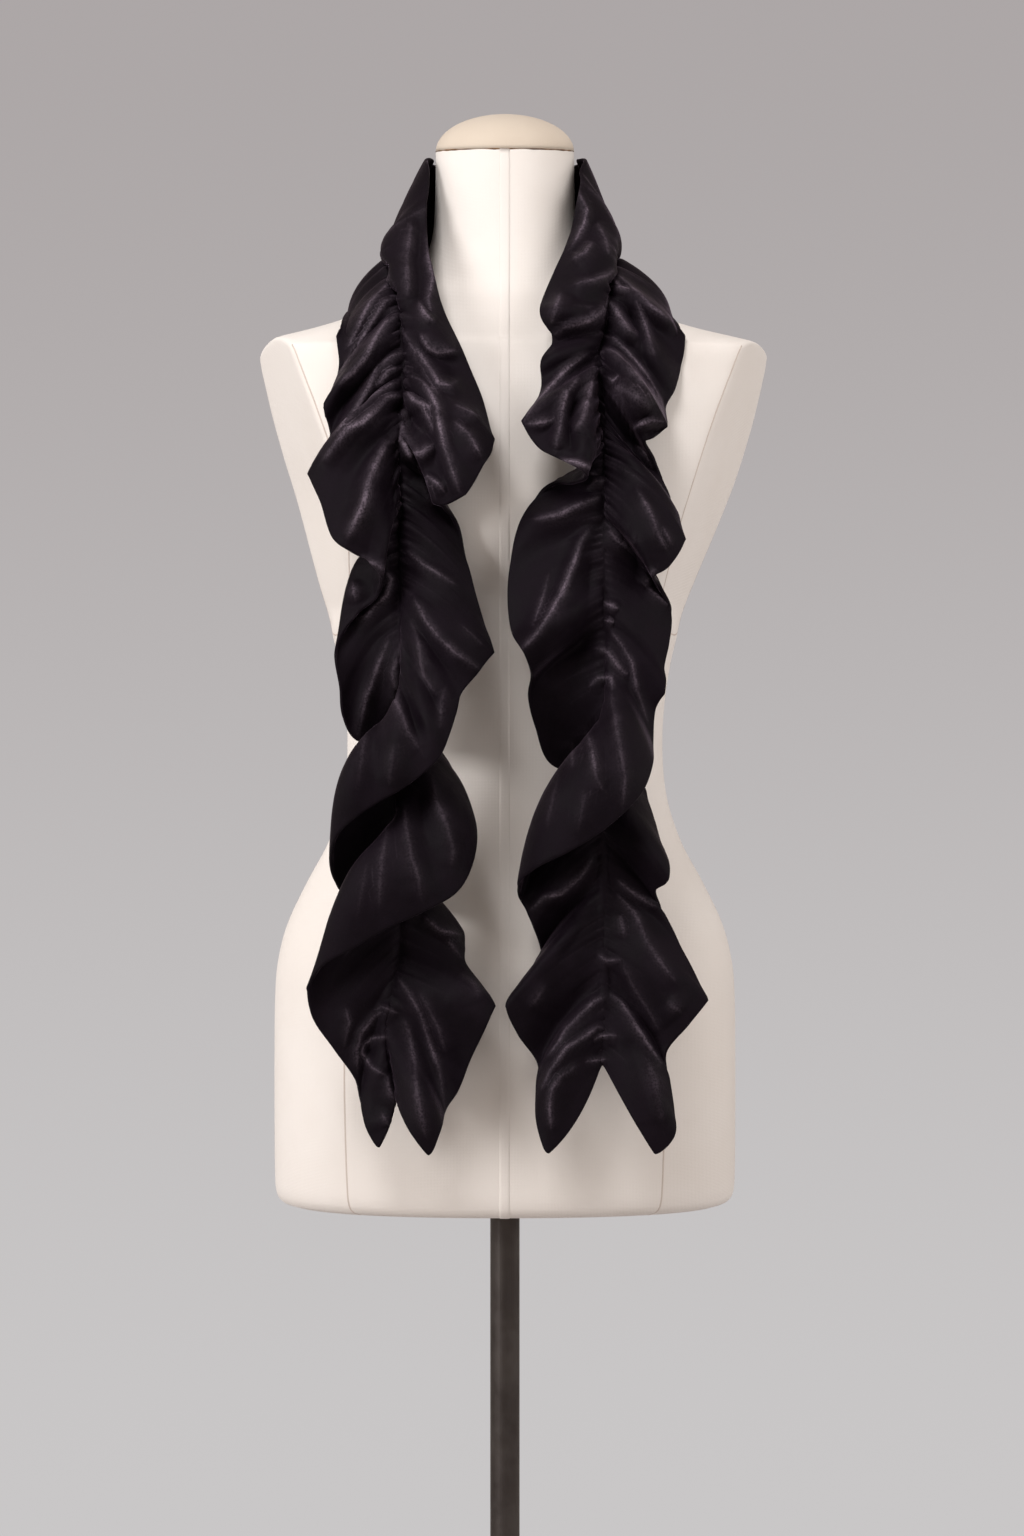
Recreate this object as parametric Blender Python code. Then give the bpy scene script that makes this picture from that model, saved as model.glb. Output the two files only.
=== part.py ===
"""Ruffled velvet scarf, hung round the neck of a limbless dress form on a pole.

The scarf is one long double strip of velvet, gathered along its middle seam so
that both halves stand out as ruffles. It is built as three walls: the stretch
round the neck and the two falls. Each half of the strip is a set of folds. A
fold runs from the gathered seam to the hem, and its row in a table says how far
down the seam it starts and where its hem hangs.

Lengths below are in millimetres. "Front" counts towards the viewer, so it is
minus Y. Z is up from the floor, X to the viewer's right.
"""

import math
from collections import namedtuple

import bmesh
import bpy
from mathutils import Vector

MM = 0.001

# Driving sizes of the stand
BASE_RADIUS = 200.0
BASE_THICKNESS = 9.0
BASE_CHAMFER = 2.0
POLE_RADIUS = 11.0
SEAT_GAP = 0.3            # between pieces that rest on each other
FORM_BOTTOM = 784.0
NECK_TOP = 1572.0         # height of the seam between neck and cap
CAP_HEIGHT = 28.0
CAP_SLOPE = 0.11          # the neck's top slopes down towards the front
CAP_SLOPE_START = 1515.0  # height where that slope begins to show
RING_POINTS = 44
ROUND_POINTS = 36
CAP_LEVELS = 7
CREASE_ANGLE = math.radians(50)  # edges sharper than this aren't shaded smooth

# The flat armhole plates: half width at the underarm and how it grows upwards
PLATE_BOTTOM = 1205.0
PLATE_HALF_WIDTH = 127.5
PLATE_FLARE = 0.275       # sideways per unit of height
PLATE_TURN = 0.36         # sideways per unit of depth: the plates face a little forward
PLATE_DEPTH_ZERO = 10.0   # depth behind the axis where the half width is measured

# Driving sizes of the scarf
WALL = 3.0                # two layers of velvet
CLOTH_GAP = 1.0           # least gap that the draping leaves to the form
NODE_GAP = 1.0            # along the seam, between the scarf's three stretches
SEAM_STEP = 7.0           # between columns of the mesh along the gathered seam
FOLD_STEPS = 6            # faces from the seam to the hem
NAPE = -160.0             # seam position at the back of the neck
SPLIT = -6.0              # seam position where the neck stretch meets each fall
COLLAR_WAVE = 2.0         # height of the ruffle waves round the neck, above the seam
SKIRT_WAVE = 7.0          # and below it
NECK_WAVE_PITCH = 40.0
PUFF_TURN = 60.0          # seam length over which the puff turns to face the front
ARCH_SHARE = 0.35         # how far a full arch moves the middle of a fold
CLEARING_ROUNDS = 4       # repeats when a point is pushed clear of the form
PROBE = 0.5               # step used to feel which way the form's surface faces

# Torso sections: natural half width, front and back depth, squareness
Section = namedtuple("Section", "height half_width front back power")
TORSO = [
    Section(784.0, 158, 102, 102, 2.25),
    Section(786.5, 166, 109, 109, 2.25),
    Section(792, 170.5, 113, 113, 2.25),
    Section(804, 172, 115, 115, 2.25),
    Section(850, 172.5, 117, 117.5, 2.25),
    Section(900, 172.5, 118, 119, 2.25),
    Section(940, 172, 118, 119, 2.25),
    Section(965, 170, 115.5, 117, 2.25),
    Section(993, 163, 110, 112, 2.2),
    Section(1025, 148, 101, 103, 2.2),
    Section(1055, 132, 94, 94, 2.15),
    Section(1090, 121, 88, 86, 2.1),
    Section(1130, 118, 87, 82, 2.1),
    Section(1170, 121, 92, 83, 2.1),
    Section(1205, 128, 101, 88, 2.15),
    Section(1232, 138, 109, 93, 2.2),
    Section(1258, 151, 117, 97, 2.2),
    Section(1280, 163, 122, 101, 2.25),
    Section(1305, 177, 123, 105, 2.3),
    Section(1335, 194, 117, 108, 2.3),
    Section(1370, 208, 106, 109, 2.3),
    Section(1400, 213, 94, 106, 2.3),
    Section(1418, 212, 86, 102, 2.3),
    Section(1428, 203, 81, 99, 2.25),
    Section(1435, 176, 78, 96, 2.15),
    Section(1443, 146, 75, 91, 2.1),
    Section(1451, 119, 71.5, 85, 2.1),
    Section(1460, 95, 67, 78, 2.05),
    Section(1470, 77, 62.5, 70, 2.0),
    Section(1482, 65.5, 58.5, 62.5, 2.0),
    Section(1497, 57.5, 55, 56, 2.0),
    Section(1515, 53.5, 53, 53, 2.0),
    Section(1540, 52.2, 51.8, 51.8, 2.0),
    Section(1572, 51.8, 51, 51, 2.0),
]

# The gathered seam of each fall, from the nape down: place along it, then its point
SeamPoint = namedtuple("SeamPoint", "down side front height")
RIGHT_SEAM = [
    SeamPoint(-160, 0, -94, 1478),
    SeamPoint(-100, -54, -76, 1482),
    SeamPoint(-50, -80, -30, 1487),
    SeamPoint(0, -84, 40, 1484),
    SeamPoint(34, -78, 80, 1450),
    SeamPoint(68, -74, 99, 1416),
    SeamPoint(110, -74, 118, 1374),
    SeamPoint(155, -75, 136, 1329),
    SeamPoint(226, -75, 147, 1258),
    SeamPoint(326, -75, 150, 1158),
    SeamPoint(432, -74, 150, 1052),
    SeamPoint(503, -75, 150, 981),
    SeamPoint(540, -82, 151, 944),
    SeamPoint(565, -85, 151, 919),
    SeamPoint(594, -77, 151, 879),
]
LEFT_SEAM = [
    SeamPoint(-160, 0, -94, 1478),
    SeamPoint(-100, 54, -76, 1482),
    SeamPoint(-50, 80, -30, 1487),
    SeamPoint(0, 79, 40, 1484),
    SeamPoint(25, 76, 74, 1459),
    SeamPoint(53, 72, 94, 1431),
    SeamPoint(71, 69, 103, 1413),
    SeamPoint(109, 68, 118, 1375),
    SeamPoint(161, 70, 138, 1323),
    SeamPoint(211, 71, 148, 1273),
    SeamPoint(269, 72, 151, 1215),
    SeamPoint(368, 69, 151, 1116),
    SeamPoint(432, 70, 151, 1052),
    SeamPoint(482, 71, 151, 1002),
    SeamPoint(539, 71, 151, 945),
    SeamPoint(582, 69, 151, 902),
]

# A fold: where it leaves the seam (down), where its hem hangs (side, front,
# height), how far its middle puffs out, how much it leaves the seam level before
# it drops (arch), and how far its middle bows sideways.
Fold = namedtuple("Fold", "down side front height puff arch bow", defaults=(0.3, 0.0))

NECK_COLLAR = [
    Fold(-160, 0, -62, 1562, 6, 0.0),
    Fold(-120, 36, -50, 1563, 6, 0.0),
    Fold(-80, 54, -24, 1563, 5, 0.0),
    Fold(-45, 57, 4, 1559, 4, 0.0),
    Fold(-20, 57, 28, 1543, 9, 0.0),
]
NECK_SKIRT = [
    Fold(-160, 0, -122, 1400, 10, 0.3),
    Fold(-130, 40, -116, 1399, 10, 0.3),
    Fold(-100, 80, -99, 1403, 12, 0.3),
    Fold(-72, 105, -68, 1418, 6, 0.3),
    Fold(-45, 114, -36, 1440, 4, 0.3),
    Fold(-20, 114, -6, 1449, 4, 0.3),
]

# Fall at the viewer's left. Its collar half starts beside the neck and crosses
# the front half way down; its skirt half starts on the shoulder.
RIGHT_COLLAR = [
    Fold(0, -57, 58, 1502, 18, 0.0),
    Fold(24, -50, 80, 1462, 16, 0.0),
    Fold(45, -43, 97, 1438, 12, 0.1),
    Fold(60, -33, 107, 1416, 16, 0.2),
    Fold(72, -24, 118, 1395, 4, 0.2),
    Fold(84, -15, 136, 1370, 8, 0.3),
    Fold(95, -9, 166, 1337, 12, 0.4),
    Fold(104, -15, 176, 1323, 14, 0.4),
    Fold(113, -26, 178, 1305, 14, 0.3),
    Fold(121, -40, 172, 1296, 10, 0.3),
    Fold(129, -49, 164, 1297, 6, 0.3),
    Fold(138, -42, 149, 1294, -2, 0.3),
    Fold(150, -34, 136, 1284, -8, 0.3),
    Fold(170, -28, 136, 1262, -4, 0.4),
    Fold(192, -22, 142, 1237, 2, 0.4),
    Fold(215, -15, 151, 1212, 4, 0.4),
    Fold(233, -10, 161, 1194, 8, 0.3),
    Fold(250, -18, 171, 1178, 14, 0.2),
    Fold(262, -30, 176, 1163, 4, 0.2),
    Fold(273, -34, 181, 1149, 13, 0.25),
    Fold(285, -39, 186, 1132, 5, 0.3),
    Fold(297, -46, 193, 1117, 16, 0.3),
    Fold(309, -57, 195, 1106, 7, 0.3),
    Fold(320, -72, 199, 1095, 16, 0.5, -4),
    Fold(330, -88, 197, 1086, 9, 0.7, -8),
    Fold(338, -103, 194, 1076, 14, 0.9, -10),
    Fold(350, -117, 180, 1063, 10, 1.0, -8),
    Fold(364, -123, 162, 1045, 6, 0.9, -4),
    Fold(380, -121, 145, 1029, 0, 0.6),
    Fold(400, -110, 128, 1015, -8, 0.3),
    Fold(418, -79, 118, 1009, -10, 0.2),
    Fold(438, -47, 117, 1005, -8, 0.3),
    Fold(455, -31, 124, 993, -2, 0.5),
    Fold(470, -29, 134, 981, 6, 0.5),
    Fold(482, -28, 142, 970, 0, 0.3),
    Fold(496, -15, 151, 953, 2, 0.3),
    Fold(508, -9, 159, 942, 8, 0.3),
    Fold(522, -13, 167, 927, 10, 0.3),
    Fold(537, -24, 161, 903, 2, 0.4),
    Fold(551, -33, 152, 880, -4, 0.4),
    Fold(563, -42, 156, 867, 2, 0.5),
    Fold(577, -45, 174, 856, 14, 0.5),
    Fold(594, -52, 179, 835, 12, 0.0, -4),
]
RIGHT_SKIRT = [
    Fold(0, -116, 14, 1445, 6, 0.3),
    Fold(16, -118, 42, 1432, 4, 0.3),
    Fold(30, -119, 64, 1417, 11, 0.3),
    Fold(42, -119, 78, 1402, -2, 0.3),
    Fold(53, -124, 100, 1384, 12, 0.3),
    Fold(62, -130, 115, 1370, 8, 0.3),
    Fold(71, -127, 112, 1358, -4, 0.3),
    Fold(80, -126, 110, 1343, 6, 0.4),
    Fold(91, -133, 127, 1328, -2, 0.4),
    Fold(101, -137, 143, 1316, 12, 0.5),
    Fold(114, -130, 157, 1297, 8, 0.5),
    Fold(130, -122, 167, 1273, 6, 0.4),
    Fold(146, -108, 169, 1262, 12, 0.3),
    Fold(161, -96, 169, 1255, 16, 0.2),
    Fold(176, -87, 171, 1244, 15, 0.2),
    Fold(190, -91, 156, 1231, 4, 0.4, -5),
    Fold(203, -104, 147, 1220, -2, 0.6, -12),
    Fold(218, -115, 142, 1206, -8, 0.6, -9),
    Fold(238, -121, 138, 1189, -6, 0.5, -2),
    Fold(260, -118, 134, 1166, -2, 0.6),
    Fold(278, -116, 127, 1146, -4, 0.6),
    Fold(294, -107, 119, 1130, -6, 0.4),
    Fold(310, -82, 112, 1123, -10, 0.2),
    Fold(326, -50, 112, 1119, -8, 0.2),
    Fold(340, -37, 121, 1107, -4, 0.3),
    Fold(355, -27, 139, 1089, 0, 0.4),
    Fold(367, -20, 160, 1064, 8, 0.5),
    Fold(377, -23, 177, 1041, 10, 0.5),
    Fold(387, -34, 188, 1022, 10, 0.5),
    Fold(397, -57, 196, 1009, 14, 0.5, -4),
    Fold(409, -81, 198, 998, 12, 0.8, -10),
    Fold(422, -105, 193, 984, 14, 1.0, -12),
    Fold(437, -126, 179, 972, 8, 0.9, -6),
    Fold(455, -138, 163, 955, 6, 0.6),
    Fold(478, -137, 151, 933, 0, 0.5),
    Fold(506, -122, 147, 910, 4, 0.4),
    Fold(532, -107, 142, 888, -4, 0.4),
    Fold(558, -103, 142, 871, -4, 0.5),
    Fold(575, -98, 148, 853, 4, 0.4),
    Fold(594, -90, 150, 838, 4, 0.0, 3),
]

# Fall at the viewer's right. Its skirt half crosses the front lower down.
LEFT_COLLAR = [
    Fold(0, 50, 50, 1513, 18, 0.0),
    Fold(14, 45, 66, 1493, 18, 0.0),
    Fold(25, 37, 80, 1474, 18, 0.1),
    Fold(36, 28, 95, 1451, 18, 0.2),
    Fold(47, 26, 108, 1437, 16, 0.3),
    Fold(58, 34, 108, 1418, -2, 0.2),
    Fold(68, 26, 121, 1401, 10, 0.2),
    Fold(77, 26, 122, 1380, 0, 0.1),
    Fold(88, 15, 148, 1356, 14, 0.1),
    Fold(99, 23, 161, 1338, 6, 0.2),
    Fold(111, 39, 169, 1328, 14, 0.3),
    Fold(124, 54, 175, 1320, 16, 0.3),
    Fold(136, 57, 169, 1314, 8, 0.3),
    Fold(147, 47, 152, 1312, -2, 0.4),
    Fold(157, 37, 136, 1314, -10, 0.4),
    Fold(168, 25, 130, 1307, -6, 0.4),
    Fold(182, 11, 135, 1285, 6, 0.4),
    Fold(200, 4, 143, 1256, -2, 0.5),
    Fold(218, 2, 151, 1231, -2, 0.5),
    Fold(236, 5, 161, 1206, 2, 0.4),
    Fold(251, 13, 171, 1192, 12, 0.2),
    Fold(264, 18, 161, 1180, 2, 0.3),
    Fold(277, 19, 144, 1173, -8, 0.4),
    Fold(291, 17, 136, 1160, -4, 0.5),
    Fold(308, 22, 128, 1139, -4, 0.5),
    Fold(325, 34, 119, 1112, -8, 0.3),
    Fold(341, 69, 111, 1104, -10, 0.2),
    Fold(355, 97, 114, 1098, -6, 0.3),
    Fold(370, 103, 125, 1084, -2, 0.4),
    Fold(386, 110, 147, 1059, 2, 0.5),
    Fold(402, 116, 165, 1041, 8, 0.5),
    Fold(414, 114, 167, 1029, 8, 0.4),
    Fold(425, 107, 154, 1022, -4, 0.3),
    Fold(439, 113, 144, 1007, 2, 0.3),
    Fold(457, 126, 149, 982, -4, 0.3),
    Fold(476, 138, 157, 956, 4, 0.3),
    Fold(489, 141, 163, 944, 8, 0.3),
    Fold(503, 131, 167, 929, 6, 0.3),
    Fold(521, 115, 157, 908, -4, 0.3),
    Fold(539, 117, 154, 888, 4, 0.4),
    Fold(557, 120, 159, 864, 10, 0.4),
    Fold(571, 120, 165, 849, 12, 0.3),
    Fold(582, 108, 169, 834, 10, -0.1),
]
LEFT_SKIRT = [
    Fold(0, 122, 20, 1446, 8, 0.4),
    Fold(14, 126, 42, 1435, 4, 0.4),
    Fold(26, 128, 60, 1420, 13, 0.5),
    Fold(38, 129, 77, 1407, 0, 0.5),
    Fold(50, 123, 96, 1384, 10, 0.4),
    Fold(60, 116, 106, 1370, -4, 0.3),
    Fold(70, 115, 137, 1355, 16, 0.3),
    Fold(80, 107, 149, 1346, 16, 0.3),
    Fold(91, 100, 144, 1342, 4, 0.2),
    Fold(104, 107, 131, 1331, -6, -0.2),
    Fold(116, 113, 129, 1318, -6, -0.3),
    Fold(128, 119, 140, 1301, 2, 0.1),
    Fold(141, 124, 153, 1285, 8, 0.5),
    Fold(158, 125, 163, 1267, 12, 0.4),
    Fold(173, 116, 169, 1252, 14, 0.3),
    Fold(188, 106, 168, 1245, 10, 0.3),
    Fold(202, 111, 148, 1238, -4, 0.4),
    Fold(217, 119, 140, 1222, -6, 0.5),
    Fold(240, 117, 151, 1198, -2, 0.5),
    Fold(259, 113, 155, 1180, 6, 0.4),
    Fold(273, 114, 157, 1167, 2, 0.4),
    Fold(286, 107, 150, 1150, 4, 0.3),
    Fold(296, 105, 154, 1127, 4, 0.3),
    Fold(306, 104, 176, 1112, 10, 0.3),
    Fold(315, 97, 190, 1094, 14, 0.4),
    Fold(323, 84, 197, 1079, 14, 0.5),
    Fold(331, 66, 200, 1064, 12, 0.7),
    Fold(339, 45, 197, 1051, 10, 0.9),
    Fold(348, 25, 186, 1041, 6, 1.0),
    Fold(358, 12, 168, 1031, 0, 1.0),
    Fold(372, 10, 152, 1023, -6, 0.8),
    Fold(390, 11, 143, 1016, -8, 0.6),
    Fold(408, 15, 145, 1009, -2, 0.5),
    Fold(432, 20, 146, 997, 4, 0.4),
    Fold(453, 26, 134, 979, -6, 0.3),
    Fold(464, 22, 143, 970, 4, 0.3),
    Fold(476, 11, 153, 956, 10, 0.3),
    Fold(489, 2, 158, 941, 8, 0.3),
    Fold(507, 9, 155, 921, 2, 0.3),
    Fold(526, 23, 147, 900, -4, 0.4),
    Fold(543, 23, 151, 882, 6, 0.7),
    Fold(560, 23, 159, 859, 10, 0.7),
    Fold(582, 29, 167, 835, 4, -0.5),
]


# Colours and finishes, one for each sub-part
Finish = namedtuple("Finish", "colour roughness metallic")
VELVET = Finish((0.012, 0.010, 0.013), 0.75, 0.0)
COVER = Finish((0.80, 0.74, 0.69), 0.85, 0.0)
CAP_COVER = Finish((0.76, 0.68, 0.59), 0.8, 0.0)
POLE_METAL = Finish((0.055, 0.048, 0.046), 0.45, 0.9)
BASE_METAL = Finish((0.050, 0.046, 0.045), 0.5, 0.9)


def clear_scene():
    """Remove every object that the file opens with."""
    for item in list(bpy.data.objects):
        bpy.data.objects.remove(item, do_unlink=True)


def make_material(name, finish):
    """A plain principled material."""
    material = bpy.data.materials.new(name)
    material.use_nodes = True
    shader = material.node_tree.nodes["Principled BSDF"]
    shader.inputs["Base Color"].default_value = (*finish.colour, 1.0)
    shader.inputs["Roughness"].default_value = finish.roughness
    shader.inputs["Metallic"].default_value = finish.metallic
    return material


def make_object(name, points, faces, finish):
    """Make one closed, smooth-shaded object from points in millimetres."""
    mesh = bpy.data.meshes.new(name)
    mesh.from_pydata([tuple(c * MM for c in p) for p in points], [], faces)
    body = bmesh.new()
    body.from_mesh(mesh)
    bmesh.ops.triangulate(body, faces=body.faces[:])
    bmesh.ops.recalc_face_normals(body, faces=body.faces[:])
    body.to_mesh(mesh)
    body.free()
    mesh.shade_smooth()
    mesh.set_sharp_from_angle(angle=CREASE_ANGLE)
    item = bpy.data.objects.new(name, mesh)
    item.data.materials.append(make_material(name + "_finish", finish))
    bpy.context.scene.collection.objects.link(item)
    return item


def smooth_row(rows, place):
    """Read a table at a place between its rows, along a smooth curve."""
    last = len(rows) - 1
    index = 0
    while index < last - 1 and place > rows[index + 1][0]:
        index += 1
    start, end = rows[index], rows[index + 1]
    before = rows[max(index - 1, 0)]
    after = rows[min(index + 2, last)]
    span = end[0] - start[0]
    t = min(max((place - start[0]) / span, 0.0), 1.0)
    values = []
    for column in range(1, len(start)):
        slope_start = (end[column] - before[column]) / (end[0] - before[0])
        slope_end = (after[column] - start[column]) / (after[0] - start[0])
        values.append(
            (2 * t**3 - 3 * t**2 + 1) * start[column]
            + (t**3 - 2 * t**2 + t) * span * slope_start
            + (3 * t**2 - 2 * t**3) * end[column]
            + (t**3 - t**2) * span * slope_end
        )
    return values


# ---- dress form ----

def plate_limit(height, y):
    """Half width at which the armhole plate cuts the torso."""
    if height < PLATE_BOTTOM:
        return math.inf
    half_width = PLATE_HALF_WIDTH + PLATE_FLARE * (height - PLATE_BOTTOM)
    return half_width + PLATE_TURN * (y - PLATE_DEPTH_ZERO)


def section_ring(section):
    """Points of one torso section, a squared oval with its sides cut flat."""
    points = []
    for step in range(RING_POINTS):
        angle = 2 * math.pi * step / RING_POINTS
        c, s = math.cos(angle), math.sin(angle)
        x = math.copysign(abs(c) ** (2 / section.power), c) * section.half_width
        depth = section.back if s > 0 else section.front
        y = math.copysign(abs(s) ** (2 / section.power), s) * depth
        limit = plate_limit(section.height, y)
        x = max(-limit, min(limit, x))
        rise = (section.height - CAP_SLOPE_START) / (NECK_TOP - CAP_SLOPE_START)
        z = section.height + CAP_SLOPE * y * max(rise, 0.0)
        points.append((x, y, z))
    return points


def loft(rings):
    """Faces over a stack of rings with equal counts, closed at both ends."""
    count = len(rings[0])
    points = [p for ring in rings for p in ring]
    faces = [list(range(count - 1, -1, -1))]
    for level in range(len(rings) - 1):
        low, high = level * count, (level + 1) * count
        for step in range(count):
            following = (step + 1) % count
            faces.append([low + step, low + following, high + following, high + step])
    top = (len(rings) - 1) * count
    faces.append([top + step for step in range(count)])
    return points, faces


def build_torso():
    """Padded torso and neck as one closed body."""
    points, faces = loft([section_ring(section) for section in TORSO])
    make_object("form_torso", points, faces, COVER)


def build_neck_cap():
    """Low dome that closes the neck, on the neck's sloping top."""
    neck = TORSO[-1]
    rings = []
    for level in range(CAP_LEVELS):
        lift = math.pi / 2 * level / CAP_LEVELS
        shrink = math.cos(lift)
        ring = []
        for x, y, z in section_ring(neck):
            rise = SEAT_GAP + CAP_HEIGHT * math.sin(lift)
            slope = z - neck.height
            ring.append((x * shrink, y * shrink, neck.height + slope * shrink + rise))
        rings.append(ring)
    points, faces = loft(rings)
    faces.pop()
    apex = len(points)
    points.append((0.0, 0.0, neck.height + SEAT_GAP + CAP_HEIGHT))
    top = (CAP_LEVELS - 1) * RING_POINTS
    for step in range(RING_POINTS):
        faces.append([top + step, top + (step + 1) % RING_POINTS, apex])
    make_object("form_neck_cap", points, faces, CAP_COVER)


def turned(name, profile, finish):
    """Turn a profile of (radius, height) pairs about the upright axis."""
    rings = []
    for radius, height in profile:
        ring = []
        for step in range(ROUND_POINTS):
            angle = 2 * math.pi * step / ROUND_POINTS
            ring.append((radius * math.cos(angle), radius * math.sin(angle), height))
        rings.append(ring)
    points, faces = loft(rings)
    make_object(name, points, faces, finish)


def build_stand():
    """Round steel base on the floor and the pole that carries the form."""
    turned("form_base", [
        (BASE_RADIUS, 0.0),
        (BASE_RADIUS, BASE_THICKNESS - BASE_CHAMFER),
        (BASE_RADIUS - BASE_CHAMFER, BASE_THICKNESS),
    ], BASE_METAL)
    turned("form_pole", [
        (POLE_RADIUS, BASE_THICKNESS + SEAT_GAP),
        (POLE_RADIUS, FORM_BOTTOM - SEAT_GAP),
    ], POLE_METAL)


# ---- scarf ----

def form_field(point):
    """Zero on the form's surface, negative inside it, and growing outwards."""
    height = min(max(point.z, TORSO[0].height), TORSO[-1].height)
    half_width, front, back, power = smooth_row(TORSO, height)
    depth = back if point.y > 0 else front
    spread = (abs(point.x) / half_width) ** power + (abs(point.y) / depth) ** power
    return spread ** (1 / power) - 1


def clear_of_form(point):
    """Push a point of the cloth's middle layer outwards until it clears the form."""
    keep = WALL / 2 + CLOTH_GAP
    point = point.copy()
    for _ in range(CLEARING_ROUNDS):
        here = form_field(point)
        slope = Vector([
            form_field(point + axis * PROBE) - form_field(point - axis * PROBE)
            for axis in (Vector((1, 0, 0)), Vector((0, 1, 0)), Vector((0, 0, 1)))
        ]) / (2 * PROBE)
        distance = here / slope.length
        if distance >= keep:
            break
        point += slope.normalized() * (keep - distance)
    return point


def mirrored(rows):
    """The same folds on the other side of the neck."""
    return [row._replace(side=-row.side, bow=-row.bow) for row in rows]


def puff_direction(seam, down):
    """Level direction in which folds puff: away from the neck, then to the front."""
    away = Vector((seam.x, seam.y, 0.0)).normalized()
    turn = min(max(down / PUFF_TURN, 0.0), 1.0)
    return away.lerp(Vector((0.0, -1.0, 0.0)), turn).normalized()


def neck_wave(height, down):
    """Ruffle wave at the hem round the neck, which fades out before the falls begin."""
    fade = min(max((SPLIT - down) / NECK_WAVE_PITCH, 0.0), 1.0)
    return height * fade * math.cos(2 * math.pi * (down - NAPE) / NECK_WAVE_PITCH)


def fold_point(seam_rows, fold_rows, wave, down, share):
    """Point of the middle layer, at a share of the way from the seam to the hem."""
    side, front, height = smooth_row(seam_rows, down)
    seam = Vector((side, -front, height))
    side, front, height, puff, arch, bow = smooth_row(fold_rows, down)
    outwards = puff_direction(seam, down)
    hem = Vector((side, -front, height)) + outwards * neck_wave(wave, down)
    run = hem - seam
    level, drop = 0.5 + ARCH_SHARE * arch, 0.5 - ARCH_SHARE * arch
    middle = seam + Vector((run.x * level + 2 * bow, run.y * level, run.z * drop))
    middle += outwards * (2 * puff)
    point = (1 - share) ** 2 * seam + 2 * share * (1 - share) * middle + share ** 2 * hem
    return clear_of_form(point)


def strip_column(seam_rows, collar, skirt, down):
    """One line of points across the strip, from the skirt's hem to the collar's hem."""
    shares = [step / FOLD_STEPS for step in range(FOLD_STEPS + 1)]
    skirt_side = [fold_point(seam_rows, skirt, SKIRT_WAVE, down, share) for share in shares[::-1]]
    collar_side = [fold_point(seam_rows, collar, COLLAR_WAVE, down, share) for share in shares[1:]]
    return skirt_side + collar_side


def strip_normals(grid):
    """Normal of the middle layer at each point of its grid."""
    rows, columns = len(grid), len(grid[0])
    normals = []
    for i in range(rows):
        line = []
        for j in range(columns):
            along = grid[min(i + 1, rows - 1)][j] - grid[max(i - 1, 0)][j]
            across = grid[i][min(j + 1, columns - 1)] - grid[i][max(j - 1, 0)]
            line.append(along.cross(across).normalized())
        normals.append(line)
    return normals


def build_strip(name, grid, spare_start, spare_end):
    """Give a grid of middle-layer points its thickness and close it all round.

    The spare columns beyond an end only steer the direction of its last face.
    """
    normals = strip_normals(grid)
    keep = slice(spare_start, len(grid) - spare_end)
    grid, normals = grid[keep], normals[keep]
    rows, columns = len(grid), len(grid[0])
    points = []
    for layer in (1.0, -1.0):
        for i in range(rows):
            for j in range(columns):
                points.append(grid[i][j] + normals[i][j] * (layer * WALL / 2))

    def at(layer, i, j):
        return (layer * rows + i) * columns + j

    faces = []
    for i in range(rows - 1):
        for j in range(columns - 1):
            faces.append([at(0, i, j), at(0, i + 1, j), at(0, i + 1, j + 1), at(0, i, j + 1)])
            faces.append([at(1, i, j), at(1, i, j + 1), at(1, i + 1, j + 1), at(1, i + 1, j)])
        for j in (0, columns - 1):
            faces.append([at(0, i, j), at(1, i, j), at(1, i + 1, j), at(0, i + 1, j)])
    for j in range(columns - 1):
        for i in (0, rows - 1):
            faces.append([at(0, i, j), at(0, i, j + 1), at(1, i, j + 1), at(1, i, j)])
    make_object(name, points, faces, VELVET)


def stations(start, end):
    """Places along the seam, evenly spread, at about the mesh's step."""
    count = max(2, round((end - start) / SEAM_STEP))
    return [start + (end - start) * step / count for step in range(count + 1)]


def build_scarf():
    """The stretch round the neck and the two falls."""
    right = (RIGHT_SEAM, mirrored(NECK_COLLAR) + RIGHT_COLLAR, mirrored(NECK_SKIRT) + RIGHT_SKIRT)
    left = (LEFT_SEAM, NECK_COLLAR + LEFT_COLLAR, NECK_SKIRT + LEFT_SKIRT)
    for name, half in (("scarf_right_fall", right), ("scarf_left_fall", left)):
        start = SPLIT + NODE_GAP
        places = [start - SEAM_STEP] + stations(start, half[0][-1].down)
        build_strip(name, [strip_column(*half, down) for down in places], 1, 0)
    places = stations(NAPE, SPLIT) + [SPLIT + SEAM_STEP]
    neck_right = [strip_column(*right, down) for down in places]
    neck_left = [strip_column(*left, down) for down in places]
    build_strip("scarf_neck", neck_right[::-1] + neck_left[1:], 1, 1)


def main():
    """Build every piece of the scarf and its form."""
    clear_scene()
    build_stand()
    build_torso()
    build_neck_cap()
    build_scarf()


main()
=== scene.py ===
"""Looks of a ruffled velvet scarf that hangs round the neck of a padded dress form.

The scarf is a long double strip of black velvet, gathered along its middle seam, so
both halves stand out as ruffles. Each half is read from a table of folds: a fold runs
from the gathered seam to the hem, and its row says where it starts and where its hem
hangs. Creases and the small puckers of the shirring are added on that form. The padded
form, its seams, the pole and the base follow.

Sizes are in millimetres, apart from the studio's, which are in metres, and the fold
lines, which were read in the photograph and stay in its pixels until PhotoScale
turns them into creases. "Front" counts towards the viewer, "side" to the viewer's right,
and "down" along the gathered seam from the point of the shoulder.
"""

from __future__ import annotations

import logging
import math
from dataclasses import dataclass, field
from enum import Enum
from typing import NamedTuple

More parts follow.
